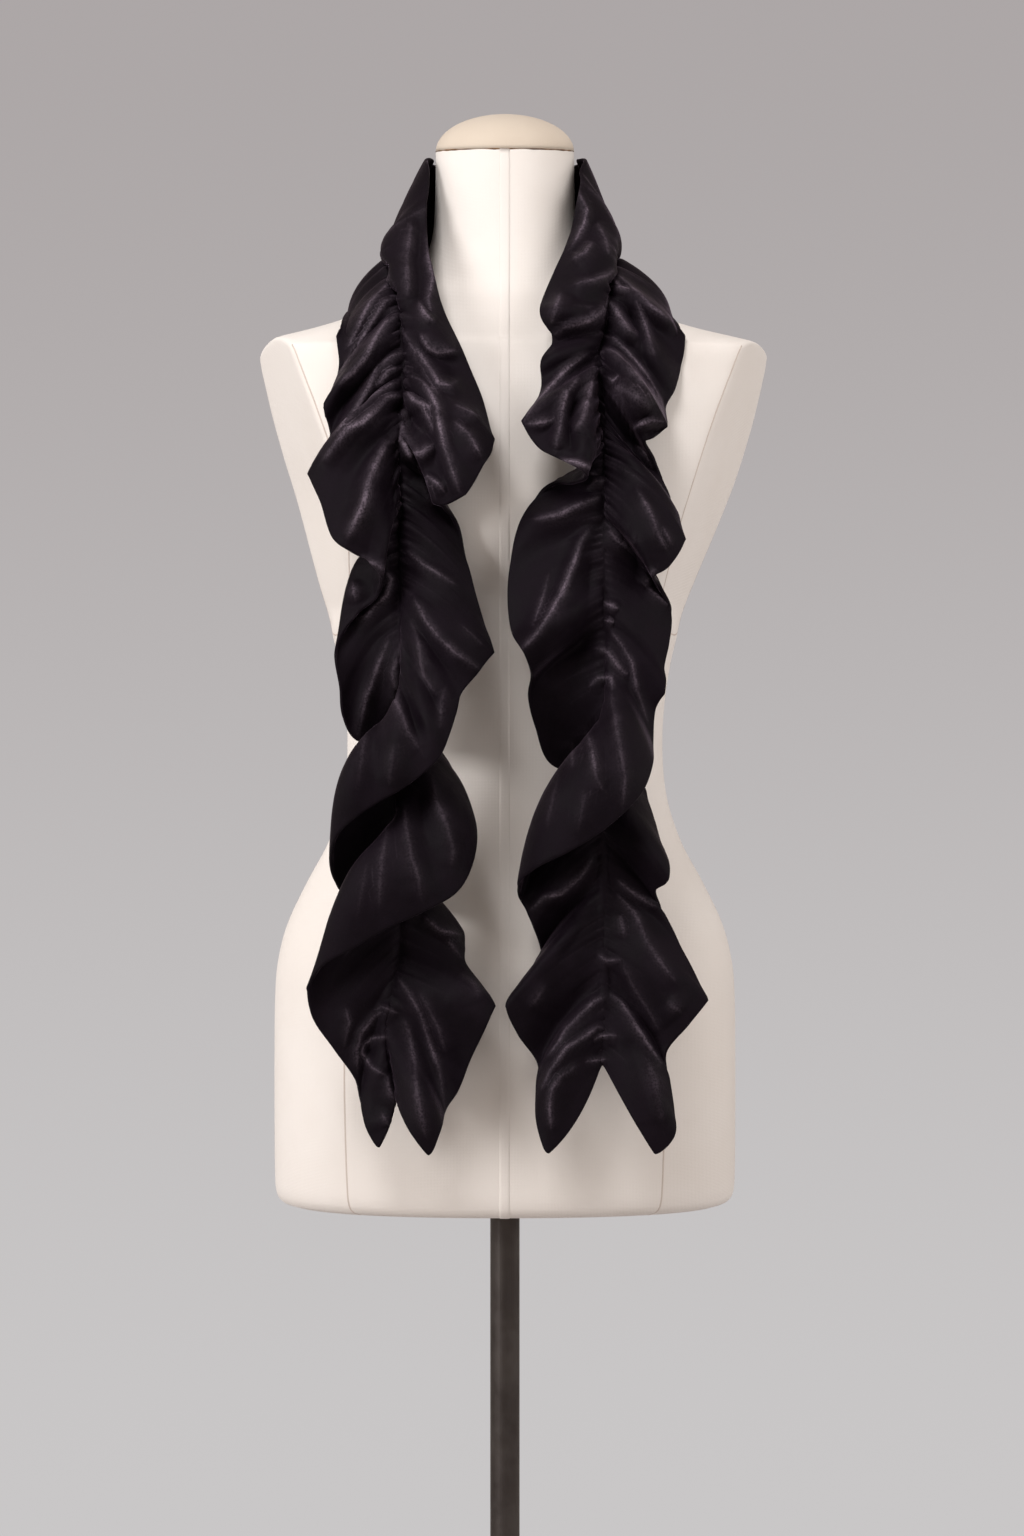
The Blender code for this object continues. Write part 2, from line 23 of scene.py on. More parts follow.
import bpy
import numpy as np
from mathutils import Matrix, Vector


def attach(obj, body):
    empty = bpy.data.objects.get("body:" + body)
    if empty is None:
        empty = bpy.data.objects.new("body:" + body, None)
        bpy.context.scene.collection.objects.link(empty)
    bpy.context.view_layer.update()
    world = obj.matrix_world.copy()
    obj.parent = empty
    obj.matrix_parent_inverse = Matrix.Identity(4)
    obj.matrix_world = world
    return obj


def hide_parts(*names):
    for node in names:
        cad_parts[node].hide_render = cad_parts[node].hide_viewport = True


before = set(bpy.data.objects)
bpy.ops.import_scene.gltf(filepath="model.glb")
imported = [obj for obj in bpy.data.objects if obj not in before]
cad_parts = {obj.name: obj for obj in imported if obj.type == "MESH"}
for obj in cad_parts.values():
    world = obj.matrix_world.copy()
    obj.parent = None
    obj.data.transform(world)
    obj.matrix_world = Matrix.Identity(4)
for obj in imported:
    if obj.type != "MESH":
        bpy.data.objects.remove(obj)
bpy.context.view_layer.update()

LOG = logging.getLogger("velvet_scarf")
MM = 0.001
TINY = 1e-9  # keeps a division or a root away from zero
BODY = "root"
WANDER_SPAN = 1200.0  # how far to both sides of zero wander() can be read


class Section(NamedTuple):
    """One level of the padded form: half width, depths and squareness of its oval."""

    height: float
    half_width: float
    front: float
    back: float
    power: float


class SeamPoint(NamedTuple):
    """One point of the scarf's gathered seam."""

    down: float
    side: float
    front: float
    height: float


class Fold(NamedTuple):
    """One fold: its place on the seam, its hem's point, and the way between them."""

    down: float
    side: float
    front: float
    height: float
    puff: float
    arch: float = 0.3
    bow: float = 0.0


def rows_of(kind: type, *rows: tuple[float, ...]) -> list:
    """Read each row as one kind of named tuple."""
    return [kind(*row) for row in rows]


FORM_SECTIONS = rows_of(
    Section,
    (784.0, 158, 102, 102, 2.25), (786.5, 166, 109, 109, 2.25), (792, 170.5, 113, 113, 2.25),
    (804, 172, 115, 115, 2.25), (850, 172.5, 117, 117.5, 2.25), (900, 172.5, 118, 119, 2.25),
    (940, 172, 118, 119, 2.25), (965, 170, 115.5, 117, 2.25), (993, 163, 110, 112, 2.2),
    (1025, 148, 101, 103, 2.2), (1055, 132, 94, 94, 2.15), (1090, 121, 88, 86, 2.1),
    (1130, 118, 87, 82, 2.1), (1170, 121, 92, 83, 2.1), (1205, 128, 101, 88, 2.15),
    (1232, 138, 109, 93, 2.2), (1258, 151, 117, 97, 2.2), (1280, 163, 122, 101, 2.25),
    (1305, 177, 123, 105, 2.3), (1335, 194, 117, 108, 2.3), (1370, 208, 106, 109, 2.3),
    (1400, 213, 94, 106, 2.3), (1420.5, 212, 86, 102, 2.3), (1425, 203, 81, 99, 2.25),
    (1431, 176, 78, 96, 2.15), (1438, 146, 75, 91, 2.1), (1446.5, 119, 71.5, 85, 2.1),
    (1460, 95, 67, 78, 2.05), (1470, 77, 62.5, 70, 2.0), (1482, 65.5, 58.5, 62.5, 2.0),
    (1497, 57.5, 55, 56, 2.0), (1515, 53.5, 53, 53, 2.0), (1540, 52.2, 51.8, 51.8, 2.0),
    (1572, 51.8, 51, 51, 2.0),
)

# The gathered seam of each half, from the nape down to its end
RIGHT_SEAM = rows_of(
    SeamPoint,
    (-160, 0, -94, 1478), (-100, -54, -76, 1482), (-50, -80, -30, 1487), (0, -84, 40, 1484),
    (34, -78, 80, 1450), (68, -74, 99, 1416), (110, -74, 118, 1374), (155, -75, 136, 1329),
    (226, -75, 147, 1258), (326, -75, 150, 1158), (432, -74, 150, 1052), (503, -75, 150, 981),
    (540, -82, 151, 944), (565, -85, 151, 919), (594, -77, 151, 879),
)
LEFT_SEAM = rows_of(
    SeamPoint,
    (-160, 0, -94, 1478), (-100, 54, -76, 1482), (-50, 80, -30, 1487), (0, 79, 40, 1484),
    (25, 76, 74, 1459), (53, 72, 94, 1431), (71, 69, 103, 1413), (109, 68, 118, 1375),
    (161, 70, 138, 1323), (211, 71, 148, 1273), (269, 72, 151, 1215), (368, 69, 151, 1116),
    (432, 70, 151, 1052), (482, 71, 151, 1002), (539, 71, 151, 945), (582, 69, 151, 902),
)
# Folds round the neck, for both halves: above the seam and below it
NECK_COLLAR = rows_of(
    Fold,
    (-160, 0, -62, 1562, 6, 0.0), (-120, 36, -50, 1563, 6, 0.0), (-80, 54, -24, 1567, 5, 0.0),
)
NECK_SKIRT = rows_of(
    Fold,
    (-160, 0, -122, 1400, 10), (-130, 40, -116, 1399, 10), (-100, 80, -99, 1403, 12),
    (-72, 105, -68, 1418, 6), (-45, 114, -36, 1440, 4), (-20, 114, -6, 1449, 4),
)
# The fall at the viewer's left: the half beside the neck, then the shoulder half
RIGHT_COLLAR = rows_of(
    Fold,
    (-45, -57, 4, 1566, 7, 0.0), (-20, -57, 28, 1550, 8.5, 0.0), (0, -57, 58, 1502, 18, 0.0),
    (24, -50, 80, 1462, 16, 0.0), (45, -43, 97, 1438, 12, 0.1), (60, -33, 107, 1416, 16, 0.2),
    (72, -24, 118, 1395, 4, 0.2), (84, -15, 136, 1370, 8), (95, -9, 166, 1337, 12, 0.4),
    (104, -15, 176, 1323, 14, 0.4), (113, -26, 178, 1305, 14), (121, -40, 172, 1296, 10),
    (129, -49, 164, 1297, 6), (138, -42, 149, 1294, -2), (150, -34, 136, 1284, -8),
    (170, -28, 136, 1262, -4, 0.4), (192, -22, 142, 1237, 2, 0.4), (215, -15, 151, 1212, 4, 0.4),
    (233, -10, 161, 1194, 8), (250, -18, 171, 1178, 14, 0.2), (262, -30, 176, 1163, 4, 0.2),
    (273, -34, 181, 1149, 13, 0.25), (285, -39, 186, 1132, 5), (297, -46, 193, 1117, 16),
    (309, -57, 195, 1106, 7), (320, -72, 199, 1095, 16, 0.5, -4), (330, -88, 197, 1086, 9, 0.7, -8),
    (338, -103, 194, 1076, 14, 0.9, -10), (350, -117, 180, 1063, 10, 1.0, -8),
    (364, -123, 162, 1045, 6, 0.9, -4), (380, -121, 145, 1029, 0, 0.6), (400, -110, 128, 1015, -8),
    (418, -79, 118, 1009, -10, 0.2), (438, -47, 117, 1005, -8), (455, -31, 124, 993, -2, 0.5),
    (470, -29, 134, 981, 6, 0.5), (482, -28, 142, 970, 0), (496, -15, 151, 953, 2),
    (508, -9, 159, 942, 8), (522, -13, 167, 927, 10), (537, -24, 161, 903, 2, 0.4),
    (551, -33, 152, 880, -4, 0.4), (563, -42, 156, 867, 2, 0.5), (577, -45, 174, 856, 14, 0.5),
    (594, -52, 179, 835, 12, 0.0, -4),
)
RIGHT_SKIRT = rows_of(
    Fold,
    (0, -116, 14, 1445, 6), (16, -118, 42, 1432, 4), (30, -119, 64, 1417, 11),
    (42, -119, 78, 1402, -2), (53, -124, 100, 1384, 12), (62, -130, 115, 1370, 8),
    (71, -127, 112, 1358, -4), (80, -126, 110, 1343, 6, 0.4), (91, -133, 127, 1328, -2, 0.4),
    (101, -137, 143, 1316, 12, 0.5), (114, -130, 157, 1297, 8, 0.5), (130, -122, 167, 1273, 6, 0.4),
    (146, -108, 169, 1262, 12), (161, -96, 169, 1255, 16, 0.2), (176, -87, 171, 1244, 15, 0.2),
    (190, -91, 156, 1231, 4, 0.4, -5), (203, -104, 147, 1220, -2, 0.6, -12),
    (218, -115, 142, 1206, -8, 0.6, -9), (238, -121, 138, 1189, -6, 0.5, -2),
    (260, -118, 134, 1166, -2, 0.6), (278, -116, 127, 1146, -4, 0.6), (294, -107, 119, 1130, -6, 0.4),
    (310, -82, 112, 1123, -10, 0.2), (326, -50, 112, 1119, -8, 0.2), (340, -37, 121, 1107, -4),
    (355, -27, 139, 1089, 0, 0.4), (367, -20, 160, 1064, 8, 0.5), (377, -23, 177, 1041, 10, 0.5),
    (387, -34, 188, 1022, 10, 0.5), (397, -57, 196, 1009, 14, 0.5, -4),
    (409, -81, 198, 998, 12, 0.8, -10), (422, -105, 193, 984, 14, 1.0, -12),
    (437, -126, 179, 972, 8, 0.9, -6), (455, -138, 163, 955, 6, 0.6), (478, -137, 151, 933, 0, 0.5),
    (506, -122, 147, 910, 4, 0.4), (532, -107, 142, 888, -4, 0.4), (558, -103, 142, 871, -4, 0.5),
    (575, -98, 148, 853, 4, 0.4), (594, -90, 150, 838, 4, 0.0, 3),
)
# The fall at the viewer's right, in the same order
LEFT_COLLAR = rows_of(
    Fold,
    (-45, 57, 4, 1566, 4, 0.0), (-20, 57, 28, 1550, 9, 0.0), (0, 50, 50, 1513, 18, 0.0),
    (14, 45, 66, 1493, 18, 0.0), (25, 37, 80, 1474, 18, 0.1), (36, 28, 95, 1451, 18, 0.2),
    (47, 26, 108, 1437, 16), (58, 34, 108, 1418, -2, 0.2), (68, 26, 121, 1401, 10, 0.2),
    (77, 26, 122, 1380, 0, 0.1), (88, 15, 148, 1356, 14, 0.1), (99, 23, 161, 1338, 6, 0.2),
    (111, 39, 169, 1328, 14), (124, 54, 175, 1320, 16), (136, 57, 169, 1314, 8),
    (147, 47, 152, 1312, -2, 0.4), (157, 37, 136, 1314, -10, 0.4), (168, 25, 130, 1307, -6, 0.4),
    (182, 11, 135, 1285, 6, 0.4), (200, 4, 143, 1256, -2, 0.5), (218, 2, 151, 1231, -2, 0.5),
    (236, 5, 161, 1206, 2, 0.4), (251, 13, 171, 1192, 12, 0.2), (264, 18, 161, 1180, 2),
    (277, 19, 144, 1173, -8, 0.4), (291, 17, 136, 1160, -4, 0.5), (308, 22, 128, 1139, -4, 0.5),
    (325, 34, 119, 1112, -8), (341, 69, 111, 1104, -10, 0.2), (355, 97, 114, 1098, -6),
    (370, 103, 125, 1084, -2, 0.4), (386, 110, 147, 1059, 2, 0.5), (402, 116, 165, 1041, 8, 0.5),
    (414, 114, 167, 1029, 8, 0.4), (425, 107, 154, 1022, -4), (439, 113, 144, 1007, 2),
    (457, 126, 149, 982, -4), (476, 138, 157, 956, 4), (489, 141, 163, 944, 8),
    (503, 131, 167, 929, 6), (521, 115, 157, 908, -4), (539, 117, 154, 888, 4, 0.4),
    (557, 120, 159, 864, 10, 0.4), (571, 120, 165, 849, 12), (582, 108, 169, 834, 10, -0.1),
)
LEFT_SKIRT = rows_of(
    Fold,
    (0, 122, 20, 1446, 8, 0.4), (14, 126, 42, 1435, 4, 0.4), (26, 128, 60, 1420, 13, 0.5),
    (38, 129, 77, 1407, 0, 0.5), (50, 123, 96, 1384, 10, 0.4), (60, 116, 106, 1370, -4),
    (70, 115, 137, 1355, 16), (80, 107, 149, 1346, 16), (91, 100, 144, 1342, 4, 0.2),
    (104, 107, 131, 1331, -6, -0.2), (116, 113, 129, 1318, -6, -0.3), (128, 119, 140, 1301, 2, 0.1),
    (141, 124, 153, 1285, 8, 0.5), (158, 125, 163, 1267, 12, 0.4), (173, 116, 169, 1252, 14),
    (188, 106, 168, 1245, 10), (202, 111, 148, 1238, -4, 0.4), (217, 119, 140, 1222, -6, 0.5),
    (240, 117, 151, 1198, -2, 0.5), (259, 113, 155, 1180, 6, 0.4), (273, 114, 157, 1167, 2, 0.4),
    (286, 107, 150, 1150, 4), (296, 105, 154, 1127, 4), (306, 104, 176, 1112, 10),
    (315, 97, 190, 1094, 14, 0.4), (323, 84, 197, 1079, 14, 0.5), (331, 66, 200, 1064, 12, 0.7),
    (339, 45, 197, 1051, 10, 0.9), (348, 25, 186, 1041, 6, 1.0), (358, 12, 168, 1031, 0, 1.0),
    (372, 10, 152, 1023, -6, 0.8), (390, 11, 143, 1016, -8, 0.6), (408, 15, 145, 1009, -2, 0.5),
    (432, 20, 146, 997, 4, 0.4), (453, 26, 134, 979, -6), (464, 22, 143, 970, 4),
    (476, 11, 153, 956, 10), (489, 2, 158, 941, 8), (507, 9, 155, 921, 2),
    (526, 23, 147, 900, -4, 0.4), (543, 23, 151, 882, 6, 0.7), (560, 23, 159, 859, 10, 0.7),
    (582, 29, 167, 835, 4, -0.5),
)


# Where the panel seams run on the body: height, and the angle in degrees from its side
PANEL_ROWS = [
    (784.0, 51.0), (900.0, 50.0), (1000.0, 52.0), (1100.0, 60.0), (1200.0, 61.0),
    (1300.0, 66.0), (1400.0, 72.0),
]


class FoldLine(NamedTuple):
    """A fold line read in the photograph: a ridge, or a trough if its rise is below zero.

    Rise and width are in steps, and the path is a list of (column, row) points.
    """

    rise: float
    width: float
    path: list[tuple[int, int]]
    lean: float = 0.6


class Boldness(Enum):
    """How strongly fold lines rise in one area of a fall."""

    UPPER = 1.18
    LEAF = 0.8
    PANEL = 0.55
    END = 0.62


class FoldArea(NamedTuple):
    """Fold lines of one area of a fall."""

    boldness: Boldness
    lines: list[FoldLine]


# Fold lines of the fall at the viewer's left
RIGHT_FALL_LINES = [
    FoldArea(Boldness.UPPER, rows_of(
        FoldLine,
        # the rolled collar beside the neck
        (3.0, 5.0, [(408, 205), (404, 250), (407, 290)]),
        (-2.5, 3.5, [(418, 200), (414, 250), (417, 290), (424, 312)]),
        (2.6, 3.0, [(425, 215), (426, 245), (431, 268), (427, 292), (432, 314)]),
        (3.5, 2.6, [(417, 295), (424, 309), (433, 317)]),
        (3.5, 3.0, [(421, 330), (429, 344), (439, 349), (455, 347)], -0.3),
        (4.0, 3.4, [(412, 335), (422, 356), (431, 369), (439, 383), (450, 386), (456, 381)], -0.3),
        (2.6, 3.2, [(400, 319), (415, 345), (431, 380), (442, 412)]),
        # the shirred wing that stands out at the shoulder
        (3.0, 3.0, [(390, 265), (368, 292), (357, 314), (344, 341)]),
        (3.5, 3.0, [(394, 288), (382, 292), (368, 314), (357, 336), (344, 366)]),
        (4.5, 3.4, [(397, 307), (385, 314), (376, 330), (366, 352), (352, 369), (338, 380)]),
        (2.6, 2.4, [(357, 330), (346, 352), (340, 367)]),
        (5.0, 3.2, [(402, 347), (390, 352), (376, 364), (368, 385), (352, 415), (330, 448)]),
        (3.4, 2.4, [(395, 364), (388, 367), (380, 378), (368, 385)]),
        (4.6, 2.8, [(397, 379), (388, 383), (371, 396), (351, 415), (335, 440)]),
        (6.0, 4.2, [(401, 393), (388, 396), (376, 412), (363, 424), (349, 431), (326, 460)]),
        # the puffs and long folds of the first leaf
        (5.0, 2.6, [(409, 371), (422, 381), (431, 393), (438, 410), (439, 419), (446, 449), (461, 494)]),
        (4.0, 2.6, [(407, 390), (415, 400), (426, 408), (438, 410)]),
        (3.0, 3.0, [(410, 396), (422, 403), (432, 422), (439, 439)]),
        (2.4, 2.4, [(456, 408), (466, 413), (479, 419)]),
        (2.4, 3.0, [(456, 425), (470, 440), (482, 460)]),
        (6.5, 4.6, [(404, 408), (402, 420), (403, 439), (410, 453), (422, 456), (436, 447)], -0.4),
        (-4.5, 4.0, [(410, 412), (414, 432)]),
        (-4.0, 3.0, [(395, 400), (398, 413)]),
        (6.0, 4.2, [(397, 439), (386, 444), (378, 463), (371, 483), (366, 509), (350, 541)]),
        (-5.0, 4.0, [(398, 440), (393, 462), (391, 491), (396, 530), (400, 560)]),
        (3.0, 3.0, [(422, 473), (429, 489), (432, 506)]),
        (3.4, 2.6, [(426, 477), (439, 487), (446, 494)]),
        (-2.5, 3.5, [(425, 425), (437, 450), (447, 480)]),
    )),
    FoldArea(Boldness.LEAF, rows_of(
        FoldLine,
        # the small leaf behind it, and the dark channel
        (4.0, 2.6, [(362, 559), (381, 568), (391, 579), (387, 596), (368, 615), (354, 621)]),
        (3.5, 4.0, [(354, 583), (357, 601)]),
        (-6.0, 5.5, [(396, 557), (399, 590), (395, 613)]),
    )),
    FoldArea(Boldness.PANEL, rows_of(
        FoldLine,
        # the long panel at the middle
        (3.2, 2.6, [(408, 550), (423, 564), (455, 586)]),
        (4.5, 3.0, [(416, 600), (427, 621), (440, 638), (457, 655), (479, 670)]),
        (2.0, 2.4, [(461, 627), (482, 646)]),
        (4.5, 4.0, [(412, 621), (420, 646), (426, 677), (440, 697)]),
        (5.5, 4.4, [(404, 640), (394, 672), (397, 700), (409, 733), (422, 752)]),
        (-3.0, 3.4, [(412, 652), (411, 694), (430, 742)]),
        (5.0, 3.4, [(390, 640), (381, 660), (366, 697), (356, 736)]),
        (3.0, 5.0, [(397, 745), (392, 784)]),
        (2.5, 5.0, [(368, 730), (360, 790)]),
        (2.5, 4.0, [(446, 690), (440, 730)]),
        # the second long panel
        (5.0, 4.4, [(405, 800), (408, 828), (413, 856), (420, 876), (423, 898)]),
        (5.0, 4.4, [(434, 778), (437, 800), (448, 826), (454, 848), (452, 864)]),
        (-4.0, 4.4, [(420, 792), (426, 834), (440, 878)]),
        (-3.0, 4.0, [(460, 800), (466, 830), (463, 860)]),
        (2.5, 4.4, [(392, 822), (384, 860), (382, 905)]),
        (2.0, 4.0, [(370, 862), (360, 915)]),
    )),
    FoldArea(Boldness.END, rows_of(
        FoldLine,
        # the end with its two points
        (3.2, 2.6, [(425, 917), (440, 930), (461, 937)]),
        (2.6, 2.6, [(446, 938), (462, 960)]),
        (4.2, 2.8, [(400, 977), (410, 992), (422, 1012), (430, 1040), (440, 1070), (444, 1108)]),
        (3.0, 4.4, [(422, 992), (440, 1025), (447, 1050)]),
        (2.6, 2.0, [(375, 1012), (383, 1007), (398, 1012)]),
        (4.2, 2.6, [(395, 1007), (375, 1015), (362, 1032), (357, 1050), (357, 1072)]),
        (5.0, 4.4, [(405, 1020), (409, 1030), (414, 1058), (419, 1090), (427, 1130)]),
        (3.2, 2.0, [(390, 1036), (372, 1040), (363, 1045), (361, 1053), (374, 1067), (385, 1075)]),
        (3.0, 2.2, [(387, 1075), (391, 1092), (402, 1110)]),
        (2.4, 2.4, [(347, 1008), (350, 1022), (344, 1046)]),
        (2.6, 3.4, [(383, 1113), (389, 1123)]),
        (3.0, 6.0, [(460, 975), (475, 985), (481, 999)]),
        (-3.0, 4.0, [(372, 1085), (378, 1120)]),
    )),
]

# Fold lines of the fall at the viewer's right
LEFT_FALL_LINES = [
    FoldArea(Boldness.UPPER, rows_of(
        FoldLine,
        # the rolled collar beside the neck
        (3.0, 2.4, [(577, 165), (590, 191), (587, 207), (579, 226), (572, 238)]),
        (4.0, 3.6, [(594, 231), (587, 243), (576, 249)]),
        (2.5, 4.0, [(600, 205), (608, 225), (610, 243)]),
        (3.0, 3.0, [(616, 257), (609, 265), (596, 273), (575, 278)]),
        (5.0, 3.2, [(610, 284), (604, 303), (593, 314), (579, 319), (566, 322), (556, 328)]),
        (-3.5, 3.0, [(611, 281), (609, 314), (601, 341), (592, 357)]),
        (3.0, 4.0, [(562, 288), (556, 306), (553, 318)]),
        # the leaf below the collar
        (4.4, 2.6, [(588, 349), (567, 367), (550, 388), (538, 403), (526, 422)]),
        (5.0, 2.6, [(579, 378), (567, 393), (562, 410), (560, 432), (556, 451)]),
        (6.0, 4.6, [(596, 362), (593, 378), (588, 402), (584, 420), (576, 434)]),
        (3.0, 2.6, [(527, 425), (545, 424), (559, 419)], -0.3),
        (-3.5, 3.4, [(574, 400), (570, 430), (572, 455)]),
        (3.0, 2.2, [(560, 463), (576, 466), (598, 475)]),
        (-5.0, 4.0, [(604, 366), (607, 423), (609, 464)]),
        # the shirred wing at the shoulder
        (3.2, 2.6, [(615, 260), (623, 276), (634, 280), (638, 285)]),
        (4.2, 3.0, [(620, 260), (639, 281), (653, 297), (674, 311)]),
        (3.2, 2.6, [(638, 283), (645, 303), (653, 338), (657, 350)]),
        (4.2, 3.2, [(612, 289), (623, 311), (631, 325), (639, 329)]),
        (4.0, 2.4, [(615, 330), (630, 347), (649, 371), (663, 398)]),
        (5.0, 3.0, [(608, 345), (617, 350), (629, 364), (639, 381), (652, 393), (663, 400)]),
        (2.6, 2.2, [(610, 374), (615, 379), (622, 373)], -0.3),
        (6.5, 9.0, [(616, 384), (630, 394), (650, 410)], 0.3),
        (-5.0, 3.4, [(644, 432), (652, 430), (664, 428)]),
        (4.4, 2.2, [(632, 429), (652, 421), (664, 422)]),
        (-3.0, 3.0, [(628, 300), (640, 322), (650, 355)]),
        (2.6, 2.2, [(640, 442), (651, 456), (654, 466)]),
    )),
    FoldArea(Boldness.LEAF, rows_of(
        FoldLine,
        # the long leaf at the left and the folds beside it
        (3.0, 2.4, [(608, 480), (596, 482), (589, 489)]),
        (4.0, 3.2, [(536, 519), (560, 515), (571, 510), (584, 504), (600, 497)]),
        (6.0, 3.0, [(590, 530), (581, 543), (573, 568), (563, 593), (550, 618), (536, 638), (523, 650)]),
        (2.2, 2.6, [(549, 576), (542, 604), (534, 630)]),
        (3.2, 2.6, [(637, 491), (648, 513), (656, 535), (664, 551)]),
        (4.0, 5.0, [(609, 530), (620, 543), (636, 543)]),
        (2.6, 2.4, [(661, 530), (670, 546)]),
        (3.0, 4.0, [(654, 571), (645, 586)]),
        (2.8, 2.6, [(648, 588), (668, 606)]),
        (3.0, 2.2, [(605, 602), (618, 610)]),
        (2.6, 2.0, [(606, 621), (614, 622)]),
        (-3.5, 4.0, [(592, 560), (588, 600), (580, 640)]),
    )),
    FoldArea(Boldness.PANEL, rows_of(
        FoldLine,
        # the long panel at the middle
        (3.4, 2.2, [(612, 632), (623, 646), (632, 663), (637, 691), (646, 722)]),
        (5.0, 3.0, [(597, 649), (609, 653), (615, 663), (623, 673), (630, 674)]),
        (3.4, 2.2, [(591, 687), (599, 679), (611, 678), (613, 691)]),
        (5.0, 3.4, [(587, 730), (592, 756), (595, 778), (601, 790)]),
        (4.5, 4.0, [(612, 694), (615, 719), (620, 758), (623, 778), (620, 806)]),
        (3.0, 4.4, [(573, 742), (573, 768)]),
        (-3.4, 3.4, [(603, 700), (604, 722), (609, 766)]),
        (2.4, 4.4, [(560, 775), (548, 825)]),
        (2.4, 4.4, [(585, 790), (577, 830)]),
    )),
    FoldArea(Boldness.END, rows_of(
        FoldLine,
        # below the panel
        (4.2, 2.6, [(530, 911), (545, 898), (562, 893), (581, 876), (592, 860)]),
        (3.2, 2.6, [(619, 880), (635, 893), (656, 907)]),
        (4.0, 3.6, [(617, 895), (635, 915), (647, 942), (660, 962), (675, 980)]),
        (2.6, 3.4, [(620, 915), (625, 937)]),
        (3.2, 2.0, [(600, 955), (607, 960), (622, 959)]),
        (3.2, 3.8, [(622, 962), (632, 982), (650, 1010), (660, 1030)]),
        (-3.0, 4.4, [(596, 905), (575, 940), (560, 960)]),
        (3.0, 5.0, [(545, 985), (530, 1005)]),
        # the end with its two points
        (4.2, 2.4, [(610, 994), (620, 1002), (632, 1020), (645, 1040), (661, 1064)]),
        (4.2, 2.4, [(605, 997), (595, 1002), (580, 1015), (567, 1030), (558, 1045), (548, 1057)]),
        (4.2, 2.4, [(607, 1030), (597, 1027), (585, 1035), (567, 1047), (552, 1067), (543, 1088)]),
        (3.0, 2.0, [(592, 1040), (600, 1035), (617, 1035)]),
        (2.2, 1.8, [(586, 1060), (607, 1059)]),
        (4.2, 2.6, [(575, 1065), (560, 1075), (552, 1087), (550, 1105), (551, 1127)]),
        (4.0, 8.0, [(645, 1050), (654, 1080), (661, 1118)]),
        (3.0, 6.0, [(668, 1000), (680, 1010)]),
        (-3.0, 5.0, [(628, 1040), (640, 1075), (652, 1115)]),
    )),
]


class Crease(NamedTuple):
    """A fold line on the scarf, in millimetres, with its path as (side, height) points."""

    rise: float
    width: float
    path: list[tuple[float, float]]
    lean: float


@dataclass(frozen=True)
class PhotoScale:
    """Turns fold lines of the 1024 x 1536 photograph into creases on the falls."""

    pixel: float = 0.712          # millimetres for one pixel on the front of the falls
    middle_column: float = 505.0  # where the side is zero
    top_height: float = 1657.0    # height of the photograph's first row
    rise_step: float = 2.4        # millimetres for one step of a line's rise
    width_step: float = 1.8       # and for one of its width

    def place(self, point: tuple[int, int]) -> tuple[float, float]:
        """Place of one point.

        Args:
            point: its column and row.

        Returns:
            Its side to the half millimetre, and its height to the millimetre.
        """
        column, row = point
        side = (column - self.middle_column) * self.pixel
        return round(side * 2) / 2, round(self.top_height - self.pixel * row)

    def crease(self, line: FoldLine, boldness: Boldness) -> Crease:
        """Crease that one fold line draws.

        Args:
            line: the fold line.
            boldness: how strongly lines rise in its area.

        Returns:
            The crease.
        """
        rise = round(line.rise * self.rise_step * boldness.value * 2) / 2
        width = round(line.width * self.width_step, 1)
        return Crease(rise, width, [self.place(point) for point in line.path], line.lean)

    def creases(self, areas: list[FoldArea]) -> list[Crease]:
        """Every crease of a fall."""
        return [self.crease(line, area.boldness) for area in areas for line in area.lines]


# ---- reading the tables ----

class Track:
    """A table read as a smooth curve between its rows."""

    def __init__(self, rows: list[tuple[float, ...]]) -> None:
        """Keep the rows; the first column is the place, the others are values."""
        self.rows = np.array(rows, float)

    def at(self, places: np.ndarray) -> np.ndarray:
        """Read every value column at the given places.

        Args:
            places: places in the units of the table's first column.

        Returns:
            One line of values for each place.
        """
        keys = self.rows[:, 0]
        last = len(keys) - 1
        index = np.clip(np.searchsorted(keys, places) - 1, 0, last - 1)
        start, end = self.rows[index], self.rows[index + 1]
        before = self.rows[np.maximum(index - 1, 0)]
        after = self.rows[np.minimum(index + 2, last)]
        span = end[:, :1] - start[:, :1]
        t = np.clip((np.asarray(places)[:, None] - start[:, :1]) / span, 0.0, 1.0)
        slope_start = (end - before) / (end[:, :1] - before[:, :1])
        slope_end = (after - start) / (after[:, :1] - start[:, :1])
        values = (
            (2 * t**3 - 3 * t**2 + 1) * start
            + (t**3 - 2 * t**2 + t) * span * slope_start
            + (3 * t**2 - 2 * t**3) * end
            + (t**3 - t**2) * span * slope_end
        )
        return values[:, 1:]


def unit(vectors: np.ndarray) -> np.ndarray:
    """Scale every vector to length one."""
    return vectors / np.maximum(np.linalg.norm(vectors, axis=-1, keepdims=True), TINY)


def smooth_step(low: float, high: float, values: np.ndarray) -> np.ndarray:
    """Rise smoothly from 0 at low to 1 at high."""
    t = np.clip((values - low) / (high - low), 0.0, 1.0)
    return t * t * (3 - 2 * t)


def wander(seed: int, places: np.ndarray, pitch: float) -> np.ndarray:
    """Smooth uneven noise between -1 and 1 along a line within the wander span.

    Args:
        seed: picks one repeatable noise.
        places: where to read it.
        pitch: distance between its random values.

    Returns:
        The noise at each place.
    """
    knots = np.arange(-WANDER_SPAN, WANDER_SPAN, pitch)
    values = np.random.default_rng(seed).uniform(-1, 1, len(knots))
    return Track(list(zip(knots, values))).at(places)[:, 0]


# ---- making meshes ----

